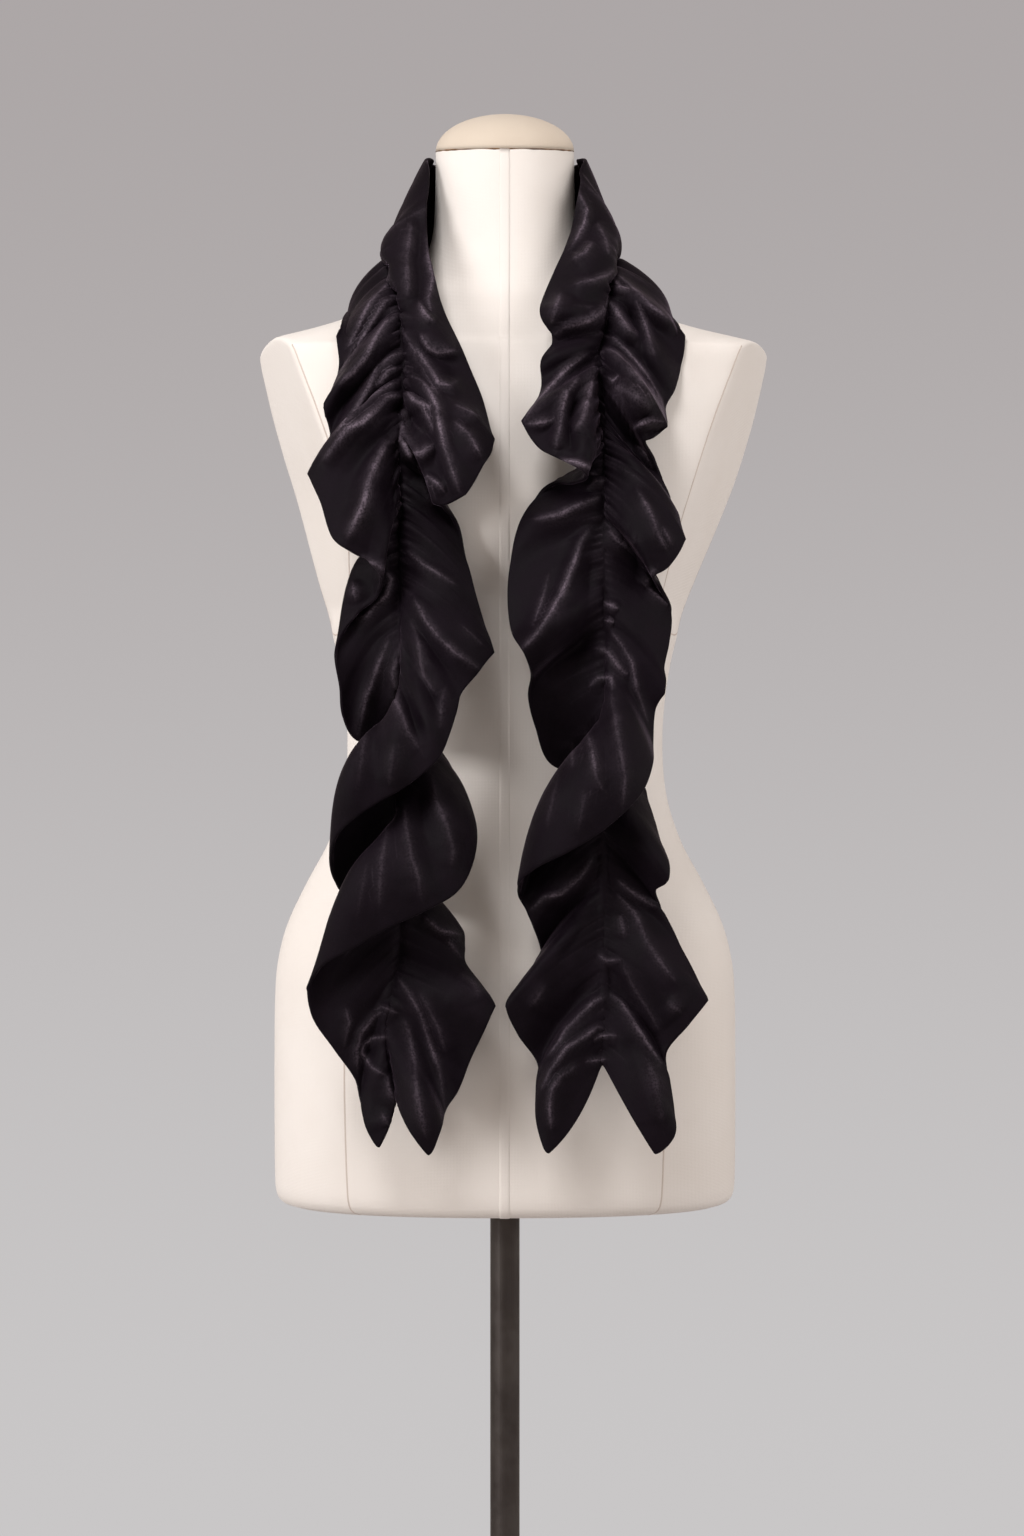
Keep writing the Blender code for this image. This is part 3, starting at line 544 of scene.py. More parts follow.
def grid_faces(rows: int, columns: int, first: int = 0, closed: bool = False) -> np.ndarray:
    """Quads over a grid of points.

    Args:
        rows: lines of points in the grid.
        columns: points in each line.
        first: index of the grid's first point.
        closed: whether each line ends where it starts.

    Returns:
        Four point indices for each quad.
    """
    index = first + np.arange(rows * columns).reshape(rows, columns)
    if closed:
        index = np.hstack([index, index[:, :1]])
    corners = (index[:-1, :-1], index[1:, :-1], index[1:, 1:], index[:-1, 1:])
    return np.stack(corners, axis=-1).reshape(-1, 4)


def point_normals(points: np.ndarray, faces: np.ndarray) -> np.ndarray:
    """Normals of a mesh's points, weighted by the area of the quads round them.

    Args:
        points: the mesh's points.
        faces: its quads, four point indices each.

    Returns:
        One normal of length one for each point.
    """
    corners = points[faces]
    normals = np.cross(corners[:, 2] - corners[:, 0], corners[:, 3] - corners[:, 1])
    total = np.zeros_like(points)
    for corner in range(4):
        np.add.at(total, faces[:, corner], normals)
    return unit(total)


def make_piece(
    name: str, points: np.ndarray, faces: list, normals: np.ndarray | None = None
) -> bpy.types.Object:
    """Make one smooth-shaded piece that rides on the one body.

    Args:
        name: the piece's name.
        points: its points in millimetres.
        faces: point indices of each face.
        normals: shading normals of the points, or None to let the faces give them.

    Returns:
        The new object.
    """
    mesh = bpy.data.meshes.new(name)
    mesh.from_pydata((points * MM).tolist(), [], [list(map(int, face)) for face in faces])
    mesh.shade_smooth()
    if normals is not None:
        mesh.normals_split_custom_set_from_vertices(normals.tolist())
    piece = bpy.data.objects.new(name, mesh)
    bpy.context.scene.collection.objects.link(piece)
    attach(piece, BODY)
    return piece


# ---- shader parts that several finishes share ----

class Shade(NamedTuple):
    """A linear colour."""

    red: float
    green: float
    blue: float

    @property
    def rgba(self) -> tuple[float, float, float, float]:
        """The colour with full cover."""
        return (self.red, self.green, self.blue, 1.0)


class Mottling(NamedTuple):
    """Uneven spots: the noise's scale and detail, its values that count, and what they give."""

    scale: float
    detail: float
    low: float
    high: float
    start: float
    end: float


class Relief(NamedTuple):
    """Strength of a bump, and its depth in metres."""

    strength: float
    depth: float


# Sockets of a Mix node that mixes colours: factor, first and second colour, and the result
MIX_INPUTS = (0, 6, 7)
MIX_OUTPUT = 2


class Board:
    """Adds and links the nodes of one node tree."""

    def __init__(self, tree: bpy.types.NodeTree) -> None:
        """Keep the tree that the nodes go into."""
        self.tree = tree

    def add(self, kind: str, inputs: dict | None = None, **settings: object) -> bpy.types.Node:
        """Add a node.

        Args:
            kind: Blender's name of the node.
            inputs: values for its sockets; a socket as a value is linked.
            settings: properties of the node itself.

        Returns:
            The new node.
        """
        node = self.tree.nodes.new(kind)
        for name, value in settings.items():
            setattr(node, name, value)
        for name, value in (inputs or {}).items():
            if isinstance(value, bpy.types.NodeSocket):
                self.tree.links.new(value, node.inputs[name])
            else:
                node.inputs[name].default_value = value
        return node

    def link(self, source: bpy.types.NodeSocket, target: bpy.types.NodeSocket) -> None:
        """Link two sockets."""
        self.tree.links.new(source, target)

    def place(self) -> bpy.types.NodeSocket:
        """Position in the piece's own coordinates."""
        return self.add("ShaderNodeTexCoord").outputs["Object"]

    def noise(self, scale: object, detail: float = 2.0, roughness: float = 0.5) -> bpy.types.NodeSocket:
        """Noise fixed to the piece, around one half."""
        inputs = {"Vector": self.place(), "Scale": scale, "Detail": detail, "Roughness": roughness}
        return self.add("ShaderNodeTexNoise", inputs).outputs["Fac"]

    def ranged(
        self, value: object, low: float, high: float, start: object = 0.0, end: object = 1.0
    ) -> bpy.types.NodeSocket:
        """Map the range low to high smoothly onto start to end."""
        inputs = {"Value": value, "From Min": low, "From Max": high, "To Min": start, "To Max": end}
        return self.add("ShaderNodeMapRange", inputs, interpolation_type="SMOOTHSTEP").outputs["Result"]

    def mottled(self, spots: Mottling) -> bpy.types.NodeSocket:
        """Uneven spots over the surface."""
        return self.ranged(self.noise(spots.scale, spots.detail), *spots[2:])

    def blend(self, factor: object, first: object, second: object) -> bpy.types.NodeSocket:
        """Mix two colours."""
        inputs = dict(zip(MIX_INPUTS, (factor, first, second)))
        return self.add("ShaderNodeMix", inputs, data_type="RGBA").outputs[MIX_OUTPUT]

    def maths(self, operation: str, *values: object) -> bpy.types.NodeSocket:
        """One step of arithmetic."""
        return self.add("ShaderNodeMath", dict(enumerate(values)), operation=operation).outputs[0]


def start_group(
    name: str, inputs: dict[str, str], outputs: dict[str, str]
) -> tuple[Board, bpy.types.Node, bpy.types.Node]:
    """Start a shader node group.

    Args:
        name: the group's name.
        inputs: its input names and socket kinds.
        outputs: its output names and socket kinds.

    Returns:
        A board for its tree, its input node and its output node.
    """
    tree = bpy.data.node_groups.new(name, "ShaderNodeTree")
    for label, kind in inputs.items():
        tree.interface.new_socket(label, in_out="INPUT", socket_type=kind)
    for label, kind in outputs.items():
        tree.interface.new_socket(label, in_out="OUTPUT", socket_type=kind)
    board = Board(tree)
    return board, board.add("NodeGroupInput"), board.add("NodeGroupOutput")


def make_clouding() -> bpy.types.NodeTree:
    """Slow uneven change between two tones, as in cloth and old paint.

    Returns:
        The group.
    """
    detail, roughness = 4.0, 0.55
    low, high = 0.36, 0.64
    board, start, end = start_group(
        "clouding",
        {"Tone": "NodeSocketColor", "Other Tone": "NodeSocketColor", "Scale": "NodeSocketFloat"},
        {"Color": "NodeSocketColor", "Mask": "NodeSocketFloat"},
    )
    mask = board.ranged(board.noise(start.outputs["Scale"], detail, roughness), low, high)
    tone = board.blend(mask, start.outputs["Tone"], start.outputs["Other Tone"])
    board.link(tone, end.inputs["Color"])
    board.link(mask, end.inputs["Mask"])
    return board.tree


def make_threads() -> bpy.types.NodeTree:
    """Fine crossing threads of a woven or knitted cloth, as a height.

    Returns:
        The group.
    """
    fuzz_fineness = 3.0
    board, start, end = start_group(
        "threads", {"Scale": "NodeSocketFloat", "Fuzz": "NodeSocketFloat"}, {"Height": "NodeSocketFloat"}
    )
    scale = start.outputs["Scale"]
    waves = {"Vector": board.place(), "Scale": scale, "Distortion": 1.5, "Detail": 2.0, "Detail Scale": 2.0}
    bands = [
        board.add("ShaderNodeTexWave", waves, bands_direction=direction).outputs["Fac"]
        for direction in ("X", "Z")
    ]
    fuzz = board.noise(board.maths("MULTIPLY", scale, fuzz_fineness))
    fuzz = board.maths("MULTIPLY", fuzz, start.outputs["Fuzz"])
    threads = board.maths("MULTIPLY", board.maths("ADD", *bands), 1 / len(bands))
    board.link(board.maths("ADD", threads, fuzz), end.inputs["Height"])
    return board.tree


class SharedLooks:
    """The node groups that several finishes place, each built once."""

    def __init__(self) -> None:
        """Build the groups."""
        self.clouding = make_clouding()
        self.threads = make_threads()


@dataclass(frozen=True)
class Finish:
    """Base of every finish: a principled material and the shared node groups."""

    looks: SharedLooks

    def start(self, name: str) -> tuple[bpy.types.Material, Board, bpy.types.Node]:
        """Start a material.

        Args:
            name: the material's name.

        Returns:
            The material, a board for its tree and its principled shader.
        """
        material = bpy.data.materials.new(name)
        material.use_nodes = True
        return material, Board(material.node_tree), material.node_tree.nodes["Principled BSDF"]

    def group(self, board: Board, tree: bpy.types.NodeTree, inputs: dict) -> bpy.types.Node:
        """Place one of the shared groups.

        Args:
            board: the board of the material's tree.
            tree: the shared group.
            inputs: values for the group's inputs.

        Returns:
            Its node.
        """
        node = board.add("ShaderNodeGroup")
        node.node_tree = tree
        for name, value in inputs.items():
            node.inputs[name].default_value = value
        return node

    def bump(self, board: Board, height: bpy.types.NodeSocket, relief: Relief) -> bpy.types.NodeSocket:
        """Normal from a height."""
        inputs = {"Height": height, "Strength": relief.strength, "Distance": relief.depth}
        return board.add("ShaderNodeBump", inputs).outputs["Normal"]

    def clouded(self, board: Board, tone: Shade, other: Shade, scale: float) -> bpy.types.Node:
        """Place the clouding group between two tones."""
        inputs = {"Tone": tone.rgba, "Other Tone": other.rgba, "Scale": scale}
        return self.group(board, self.looks.clouding, inputs)

    def settle(self, shader: bpy.types.Node, values: dict[str, object]) -> None:
        """Set what is the same all over the surface on the shader itself."""
        for name, value in values.items():
            shader.inputs[name].default_value = value

    def material(self) -> bpy.types.Material:
        """Build the material; each finish has its own."""
        raise NotImplementedError

    def dress(self, *pieces: bpy.types.Object) -> None:
        """Give pieces this finish in place of what they have.

        Args:
            pieces: the pieces.
        """
        material = self.material()
        for piece in pieces:
            piece.data.materials.clear()
            piece.data.materials.append(material)


@dataclass(frozen=True)
class Velvet(Finish):
    """Black pile that drinks light head-on and shines where it turns away, with a painted highlight along
    its crests.
    """

    ground: Shade = Shade(0.0034, 0.0014, 0.0033)
    brushed: Shade = Shade(0.0056, 0.0028, 0.0055)
    cloud_scale: float = 34.0
    painted_highlight: Shade = Shade(0.140, 0.108, 0.136)  # painted highlight along a crest
    line: float = 1.1                           # reach of the painted highlight beside a crest
    halo: float = 3.4                           # and of the fainter painted glow round it
    line_share: float = 0.5
    halo_share: float = 0.24
    glow: float = 0.13                          # painted glow left wherever a crest is near
    broken: Mottling = Mottling(700.0, 3.0, 0.32, 0.64, 0.35, 1.3)
    patchy: Mottling = Mottling(55.0, 2.0, 0.38, 0.62, 0.45, 1.0)
    roughness: tuple[float, float] = (0.6, 0.7)
    pile_scale: float = 1400.0
    nap_scale: float = 260.0
    nap_detail: float = 3.0
    nap: Relief = Relief(0.5, 0.0004)
    sheen: Shade = Shade(0.72, 0.52, 0.71)
    sheen_weight: float = 0.2
    sheen_roughness: float = 0.2
    gloss: float = 0.08

    def material(self) -> bpy.types.Material:
        """Pile tone with a painted highlight along the crests, roughness and nap, with the sheen set on the
        shader.

        Returns:
            The material.
        """
        material, board, shader = self.start("black_velvet")
        tone = self.clouded(board, self.ground, self.brushed, self.cloud_scale)
        # Painted highlight: a paler pile colour mixed in along the fold crests, where the light would catch
        # them
        near, offset = (
            board.add("ShaderNodeAttribute", attribute_name=name).outputs["Fac"] for name in CREST_VALUES
        )
        beside = board.maths("ABSOLUTE", offset)
        line, halo = (board.ranged(beside, 0.0, reach, 1.0, 0.0) for reach in (self.line, self.halo))
        uneven = board.maths("MULTIPLY", board.mottled(self.broken), board.mottled(self.patchy))
        spread = board.maths("MULTIPLY_ADD", halo, self.halo_share, self.glow)
        spread = board.maths("MULTIPLY_ADD", line, self.line_share, spread)
        painted_highlight = board.maths("MULTIPLY", board.maths("MULTIPLY", near, uneven), spread)
        # pile tone with the painted highlight mixed in
        pile_with_painted_highlight = board.blend(painted_highlight, tone.outputs["Color"], self.painted_highlight.rgba)
        board.link(pile_with_painted_highlight, shader.inputs["Base Color"])
        board.link(board.ranged(tone.outputs["Mask"], 0.0, 1.0, *self.roughness), shader.inputs["Roughness"])
        nap = board.maths("ADD", board.noise(self.pile_scale), board.noise(self.nap_scale, self.nap_detail))
        board.link(self.bump(board, nap, self.nap), shader.inputs["Normal"])
        self.settle(shader, {
            "Specular IOR Level": self.gloss, "Sheen Weight": self.sheen_weight,
            "Sheen Roughness": self.sheen_roughness, "Sheen Tint": self.sheen.rgba,
        })
        return material


@dataclass(frozen=True)
class FormCloth(Finish):
    """Matt stretch cover of the padded body."""

    name: str = "cream_cover"
    tone: Shade = Shade(0.80, 0.745, 0.705)
    faded: Shade = Shade(0.77, 0.71, 0.665)
    cloud_scale: float = 6.0
    roughness: tuple[float, float] = (0.82, 0.92)
    thread_scale: float = 300.0
    thread_fuzz: float = 0.4
    threads: Relief = Relief(0.35, 0.0003)
    sheen_weight: float = 0.12
    sheen_roughness: float = 0.5
    gloss: float = 0.3

    def material(self) -> bpy.types.Material:
        """Cream tone with slow clouding and fine threads.

        Returns:
            The material.
        """
        material, board, shader = self.start(self.name)
        tone = self.clouded(board, self.tone, self.faded, self.cloud_scale)
        woven = {"Scale": self.thread_scale, "Fuzz": self.thread_fuzz}
        threads = self.group(board, self.looks.threads, woven)
        board.link(tone.outputs["Color"], shader.inputs["Base Color"])
        board.link(board.ranged(tone.outputs["Mask"], 0.0, 1.0, *self.roughness), shader.inputs["Roughness"])
        board.link(self.bump(board, threads.outputs["Height"], self.threads), shader.inputs["Normal"])
        self.settle(shader, {
            "Specular IOR Level": self.gloss, "Sheen Weight": self.sheen_weight,
            "Sheen Roughness": self.sheen_roughness,
        })
        return material


@dataclass(frozen=True)
class DarkMetal(Finish):
    """Satin dark bronze paint of the pole and base, rubbed a little."""

    tone: Shade = Shade(0.060, 0.050, 0.047)
    worn: Shade = Shade(0.085, 0.073, 0.068)
    cloud_scale: float = 18.0
    roughness: Mottling = Mottling(90.0, 4.0, 0.3, 0.7, 0.34, 0.5)
    grain_scale: float = 700.0
    grain: Relief = Relief(0.15, 0.0001)
    metallic: float = 0.85

    def material(self) -> bpy.types.Material:
        """Dark tone with faint clouds and an uneven satin gloss.

        Returns:
            The material.
        """
        material, board, shader = self.start("dark_metal")
        tone = self.clouded(board, self.tone, self.worn, self.cloud_scale)
        board.link(tone.outputs["Color"], shader.inputs["Base Color"])
        board.link(board.mottled(self.roughness), shader.inputs["Roughness"])
        board.link(self.bump(board, board.noise(self.grain_scale), self.grain), shader.inputs["Normal"])
        self.settle(shader, {"Metallic": self.metallic})
        return material


@dataclass(frozen=True)
class Thread(Finish):
    """Brown thread and tape where the cap is sewn on."""

    tone: Shade = Shade(0.20, 0.105, 0.045)
    dark: Shade = Shade(0.075, 0.038, 0.018)
    cloud_scale: float = 120.0
    twist_scale: float = 1500.0
    twist: Relief = Relief(0.4, 0.0002)
    roughness: float = 0.85

    def material(self) -> bpy.types.Material:
        """Brown that turns darker in short stretches.

        Returns:
            The material.
        """
        material, board, shader = self.start("seam_thread")
        tone = self.clouded(board, self.tone, self.dark, self.cloud_scale)
        board.link(tone.outputs["Color"], shader.inputs["Base Color"])
        board.link(self.bump(board, board.noise(self.twist_scale), self.twist), shader.inputs["Normal"])
        self.settle(shader, {"Roughness": self.roughness})
        return material


@dataclass(frozen=True)
class StudioFloor(Finish):
    """Plain pale floor."""

    tone: Shade = Shade(0.62, 0.60, 0.60)
    other: Shade = Shade(0.60, 0.58, 0.58)
    cloud_scale: float = 2.0
    roughness: float = 0.8

    def material(self) -> bpy.types.Material:
        """Pale matt tone with the faintest clouds.

        Returns:
            The material.
        """
        material, board, shader = self.start("studio_floor")
        tone = self.clouded(board, self.tone, self.other, self.cloud_scale)
        board.link(tone.outputs["Color"], shader.inputs["Base Color"])
        self.settle(shader, {"Roughness": self.roughness})
        return material


# ---- the padded form's surface ----

@dataclass(frozen=True)
class FormShape:
    """The padded body's outer surface: ovals stacked by height, cut flat at the armholes."""

    sections: Track = field(default_factory=lambda: Track(FORM_SECTIONS))
    bottom: float = FORM_SECTIONS[0].height
    top: float = FORM_SECTIONS[-1].height
    plate_bottom: float = 1205.0
    plate_half_width: float = 127.5  # of the armhole plates at their bottom
    plate_flare: float = 0.275       # sideways per unit of height
    plate_turn: float = 0.26         # sideways per unit of depth
    plate_depth_zero: float = 10.0   # depth behind the axis where the half width is measured
    plate_fade: float = 26.0         # height over which a plate begins
    plate_rounding: float = 3.0      # radius of a plate's edges
    plate_softening: float = 3.0     # added to that radius along the soft run
    rounding_run: tuple[float, float] = (-4.0, -1.0)  # places by a plate, in radii, where rounding sets in
    soft_run: tuple[float, float] = (1215.0, 1330.0)
    plate_shifts: tuple[float, float] = (-9.0, 7.0)   # outwards at the viewer's left and right
    no_plate: float = 1000.0         # added to the half width below the plates
    top_slope: float = 0.11          # the neck's top slopes down towards the front
    top_slope_start: float = 1515.0
    probe: float = 0.5               # step used to feel which way the surface faces
    clearing_rounds: int = 4         # repeats when cloth is pushed clear of the body

    def values(self, heights: np.ndarray) -> tuple[np.ndarray, ...]:
        """Half width, front depth, back depth and squareness at each height."""
        return tuple(self.sections.at(np.clip(heights, self.bottom, self.top)).T)

    def plate_limit(self, heights: np.ndarray, x: np.ndarray, y: np.ndarray) -> np.ndarray:
        """Half width at which the armhole plate cuts the body.

        Args:
            heights: height of each point.
            x: its side.
            y: its depth.

        Returns:
            The half width for each point.
        """
        half_width = self.plate_half_width + self.plate_flare * (heights - self.plate_bottom)
        limit = half_width + self.plate_turn * (y - self.plate_depth_zero)
        limit = limit + np.where(x < 0, *self.plate_shifts) * smooth_step(*self.soft_run, heights)
        return np.where(heights < self.plate_bottom, limit + self.no_plate, limit)

    def raw(self, heights: np.ndarray, angles: np.ndarray) -> tuple[np.ndarray, np.ndarray]:
        """Oval before the plates cut it; angle 0 is the viewer's right, 90 degrees the back.

        Args:
            heights: height of each point.
            angles: its angle round the body.

        Returns:
            Side and depth of each point.
        """
        half_width, front, back, power = self.values(heights)
        cosine, sine = np.cos(angles), np.sin(angles)
        x = np.sign(cosine) * np.abs(cosine) ** (2 / power) * half_width
        y = np.sign(sine) * np.abs(sine) ** (2 / power) * np.where(sine > 0, back, front)
        return x, y

    def surface(self, heights: np.ndarray, angles: np.ndarray) -> np.ndarray:
        """Points of the finished surface.

        Args:
            heights: height of each point before the neck's top is sloped.
            angles: its angle round the body.

        Returns:
            The points, one line each.
        """
        x, y = self.raw(heights, angles)
        over = np.abs(x) - self.plate_limit(heights, x, y)
        radius = self.plate_rounding + self.plate_softening * smooth_step(*self.soft_run, heights)
        cut = 0.5 * (over + np.sqrt(over**2 + radius**2)) * smooth_step(*self.rounding_run, over / radius)
        cut *= smooth_step(self.plate_bottom, self.plate_bottom + self.plate_fade, heights)
        x = np.sign(x) * (np.abs(x) - cut)
        rise = np.maximum((heights - self.top_slope_start) / (self.top - self.top_slope_start), 0.0)
        return np.stack([x, y, heights + self.top_slope * y * rise], axis=-1)

    def gauge(self, points: np.ndarray) -> np.ndarray:
        """Zero on the surface before the plates cut it, negative inside, growing outwards.

        Args:
            points: places in or round the body.

        Returns:
            One value for each place.
        """
        half_width, front, back, power = self.values(points[:, 2])
        depth = np.where(points[:, 1] > 0, back, front)
        spread = (np.abs(points[:, 0]) / half_width) ** power + (np.abs(points[:, 1]) / depth) ** power
        return spread ** (1 / power) - 1

    def facing(self, points: np.ndarray) -> tuple[np.ndarray, np.ndarray]:
        """How far the body is from some places, and which way leads straight away from it.

        Args:
            points: the places.

        Returns:
            Distance and direction for each place.
        """
        slope = np.stack([
            self.gauge(points + axis * self.probe) - self.gauge(points - axis * self.probe)
            for axis in np.eye(3)
        ], axis=-1) / (2 * self.probe)
        size = np.linalg.norm(slope, axis=-1, keepdims=True)
        return self.gauge(points) / size[:, 0], slope / size

    def cleared(self, points: np.ndarray, keep: float) -> np.ndarray:
        """Push points of cloth outwards until they clear the body.

        Args:
            points: the points.
            keep: least distance to the body.

        Returns:
            The moved points.
        """
        points = points.copy()
        for _ in range(self.clearing_rounds):
            distance, away = self.facing(points)
            points += away * np.maximum(keep - distance, 0.0)[:, None]
        return points


# ---- the scarf ----

class Side(Enum):
    """Which fall a half of the strip belongs to."""

    RIGHT = "right"
    LEFT = "left"


class Puckers(NamedTuple):
    """One scale of the small folds that the gathering makes beside the seam."""

    pitch: float
    height: float
    reach: float
    gleam: float      # how strongly a painted highlight lies on its crests
    given_way: float  # share of it that gives way to creases


# What the cloth keeps at each point for the painted crest highlight: its strength near a crest, and the
# offset from that crest
CREST_VALUES = ("crest_near", "crest_offset")


class Wall(NamedTuple):
    """Both faces of the cloth, each by line along the seam and place across it."""

    points: np.ndarray
    normals: np.ndarray
    # strength and offset of the painted crest highlight, on both faces
    crests: np.ndarray


def mirrored(rows: list[Fold]) -> list[Fold]:
    """Put folds on the other side of the neck."""
    return [row._replace(side=-row.side, bow=-row.bow) for row in rows]


class HemCorners(NamedTuple):
    """Pointed corners of both hems: where each lies along the seam, and how far it points."""

    skirt: list[tuple[float, float]]
    collar: list[tuple[float, float]]


RIGHT_CORNERS = HemCorners(
    skirt=[(16, 1.5), (68, 2.5), (100, 3.5), (157, 1.5), (458, 1.5)],
    collar=[(93, 2.0), (114, 1.5), (125, 2.0), (236, 3.0), (509, 2.5), (580, 1.5)],
)
LEFT_CORNERS = HemCorners(
    skirt=[(13, 2.0), (72, 2.5), (154, 2.5), (277, 2.0), (489, 1.5)],
    collar=[(55, 1.5), (72, 2.0), (88, 3.0), (248, 1.5), (411, 2.5), (488, 3.0)],
)


@dataclass(frozen=True)
class Draping:
    """How one half of the scarf, from the nape to its end, hangs."""

    side: Side
    seam: Track
    collar: Track
    skirt: Track
    corners: HemCorners
    creases: list[Crease]
    end: float

    @classmethod
    def of(cls, side: Side) -> Draping:
        """Read one half from its tables.

        Args:
            side: the form's right, at the viewer's left, or the other.

        Returns:
            The half.
        """
        if side is Side.RIGHT:
            seam, corners, lines = RIGHT_SEAM, RIGHT_CORNERS, RIGHT_FALL_LINES
            collar, skirt = mirrored(NECK_COLLAR) + RIGHT_COLLAR, mirrored(NECK_SKIRT) + RIGHT_SKIRT
        else:
            seam, corners, lines = LEFT_SEAM, LEFT_CORNERS, LEFT_FALL_LINES
            collar, skirt = NECK_COLLAR + LEFT_COLLAR, NECK_SKIRT + LEFT_SKIRT
        creases = PhotoScale().creases(lines)
        return cls(side, Track(seam), Track(collar), Track(skirt), corners, creases, seam[-1].down)


@dataclass(frozen=True)
class FrontFolds:
    """Raises fold lines on whatever part of the cloth a viewer in front sees."""

    cell: float = 3.0          # size of the squares in which the foremost cloth is sought
    shown_depth: float = 5.0   # depth behind the foremost cloth up to which cloth counts as seen
    hidden_depth: float = 12.0
    blurs: int = 2
    own_weight: int = 2        # of a point in a blur, against one for each of its four neighbours
    crest_share: float = 0.22  # radius of a crest, by the crease's width
    line_reach: float = 1.6    # how far from a crest counts as near
    glow_share: float = 0.55   # added to that reach, by the crease's width
    usual_width: float = 5.0   # of a crease, to which offsets are scaled
    keenness: float = 4.0      # how sharp the valley between two creases stays
    end_share: float = 0.3     # height of a crease left at its ends

    def shown(self, layer: np.ndarray) -> np.ndarray:
        """Share to which each point lies foremost, from 0 to 1.

        Args:
            layer: points of the cloth, along the seam and across it.

        Returns:
            One share for each point, blurred so that nothing jumps.
        """
        cells = np.floor(layer[..., (0, 2)] / self.cell).astype(int)
        cells -= cells.reshape(-1, 2).min(axis=0)
        fronts = np.full(cells.reshape(-1, 2).max(axis=0) + 1, -np.inf)
        np.maximum.at(fronts, (cells[..., 0], cells[..., 1]), -layer[..., 1])
        behind = fronts[cells[..., 0], cells[..., 1]] + layer[..., 1]
        share = 1 - smooth_step(self.shown_depth, self.hidden_depth, behind)
        for _ in range(self.blurs):
            wide = np.pad(share, 1, mode="edge")
            beside = wide[:-2, 1:-1] + wide[2:, 1:-1] + wide[1:-1, :-2] + wide[1:-1, 2:]
            share = (beside + self.own_weight * share) / (4 + self.own_weight)
        return share

    def nearest(self, crease: Crease, places: np.ndarray) -> tuple[np.ndarray, ...]:
        """Where places lie beside a crease.

        Args:
            crease: the fold line.
            places: side and height of each place.

        Returns:
            Distance of each place, how far above the line it is, on which side of the line,
            and the line's fade there.
        """
        path = np.array(crease.path)
        lengths = np.linalg.norm(np.diff(path, axis=0), axis=-1)
        passed = np.concatenate([[0.0], np.cumsum(lengths)])
        nearest = np.full(places.shape[:-1], np.inf)
        along, above, side = (np.zeros(places.shape[:-1]) for _ in range(3))
        for start, end, before, length in zip(path[:-1], path[1:], passed, lengths):
            direction = (end - start) / length
            t = np.clip((places - start) @ direction, 0.0, length)
            offset = places - start - t[..., None] * direction
            distance = np.linalg.norm(offset, axis=-1)
            closer = distance < nearest
            along = np.where(closer, before + t, along)
            above = np.where(closer, offset[..., 1], above)
            across = direction[0] * offset[..., 1] - direction[1] * offset[..., 0]
            side = np.where(closer, np.sign(across), side)
            nearest = np.minimum(distance, nearest)
        fade = np.sqrt(np.sin(math.pi * np.clip(along / passed[-1], 0.0, 1.0)) + TINY)
        return nearest, above, side, self.end_share + (1 - self.end_share) * fade

    def rise(self, crease: Crease, places: np.ndarray) -> tuple[np.ndarray, np.ndarray]:
        """Height of one crease, and the painted highlight along its crest.

        A crease has a keen crest. It falls away faster above than below if it leans up,
        as overlapping folds do, and slower if it leans down, as the floor of a cup does.

        Args:
            crease: the fold line.
            places: side and height of each place.

        Returns:
            Height at each place, and how near the crest it is with its offset from it.
        """
        distance, above, side, fade = self.nearest(crease, places)
        crest = self.crest_share * crease.width
        rounded = np.sqrt(distance**2 + crest**2) - crest
        width = crease.width * (1 - crease.lean * above / (distance + crest))
        strength = np.clip(crease.rise / (2 * crease.width), 0.0, 1.0) * fade**2
        # strength of the painted highlight near the crest
        near = strength * np.exp(-((distance / (self.line_reach + self.glow_share * width)) ** 2))
        offset = side * distance * self.usual_width / crease.width
        return crease.rise * fade * np.exp(-rounded / width), np.stack([near, offset], axis=-1)

    def joined(self, heights: list[np.ndarray]) -> np.ndarray:
        """Join creases so that neighbours keep a valley between them."""
        return sum(height**self.keenness for height in heights) ** (1 / self.keenness)

    def raised(self, layer: np.ndarray, creases: list[Crease]) -> tuple[np.ndarray, np.ndarray]:
        """Bring the creases forward on a layer of cloth.

        Args:
            layer: points of the cloth, along the seam and across it.
            creases: its fold lines.

        Returns:
            The creased layer, and for each point the painted crest highlight's strength and its offset from
            the crest.
        """
        places = layer[..., (0, 2)]
        shown = self.shown(layer)
        ridges = [self.rise(crease, places) for crease in creases if crease.rise > 0]
        troughs = [-self.rise(crease, places)[0] for crease in creases if crease.rise < 0]
        total = self.joined([height for height, _ in ridges]) - self.joined(troughs)
        creased = layer.copy()
        creased[..., 1] -= total * shown
        gleams = np.array([gleam for _, gleam in ridges])
        foremost = gleams[..., 0].argmax(axis=0)[None, ..., None]
        gleam = np.take_along_axis(gleams, foremost, axis=0)[0]
        gleam[..., 0] *= shown
        return creased, gleam


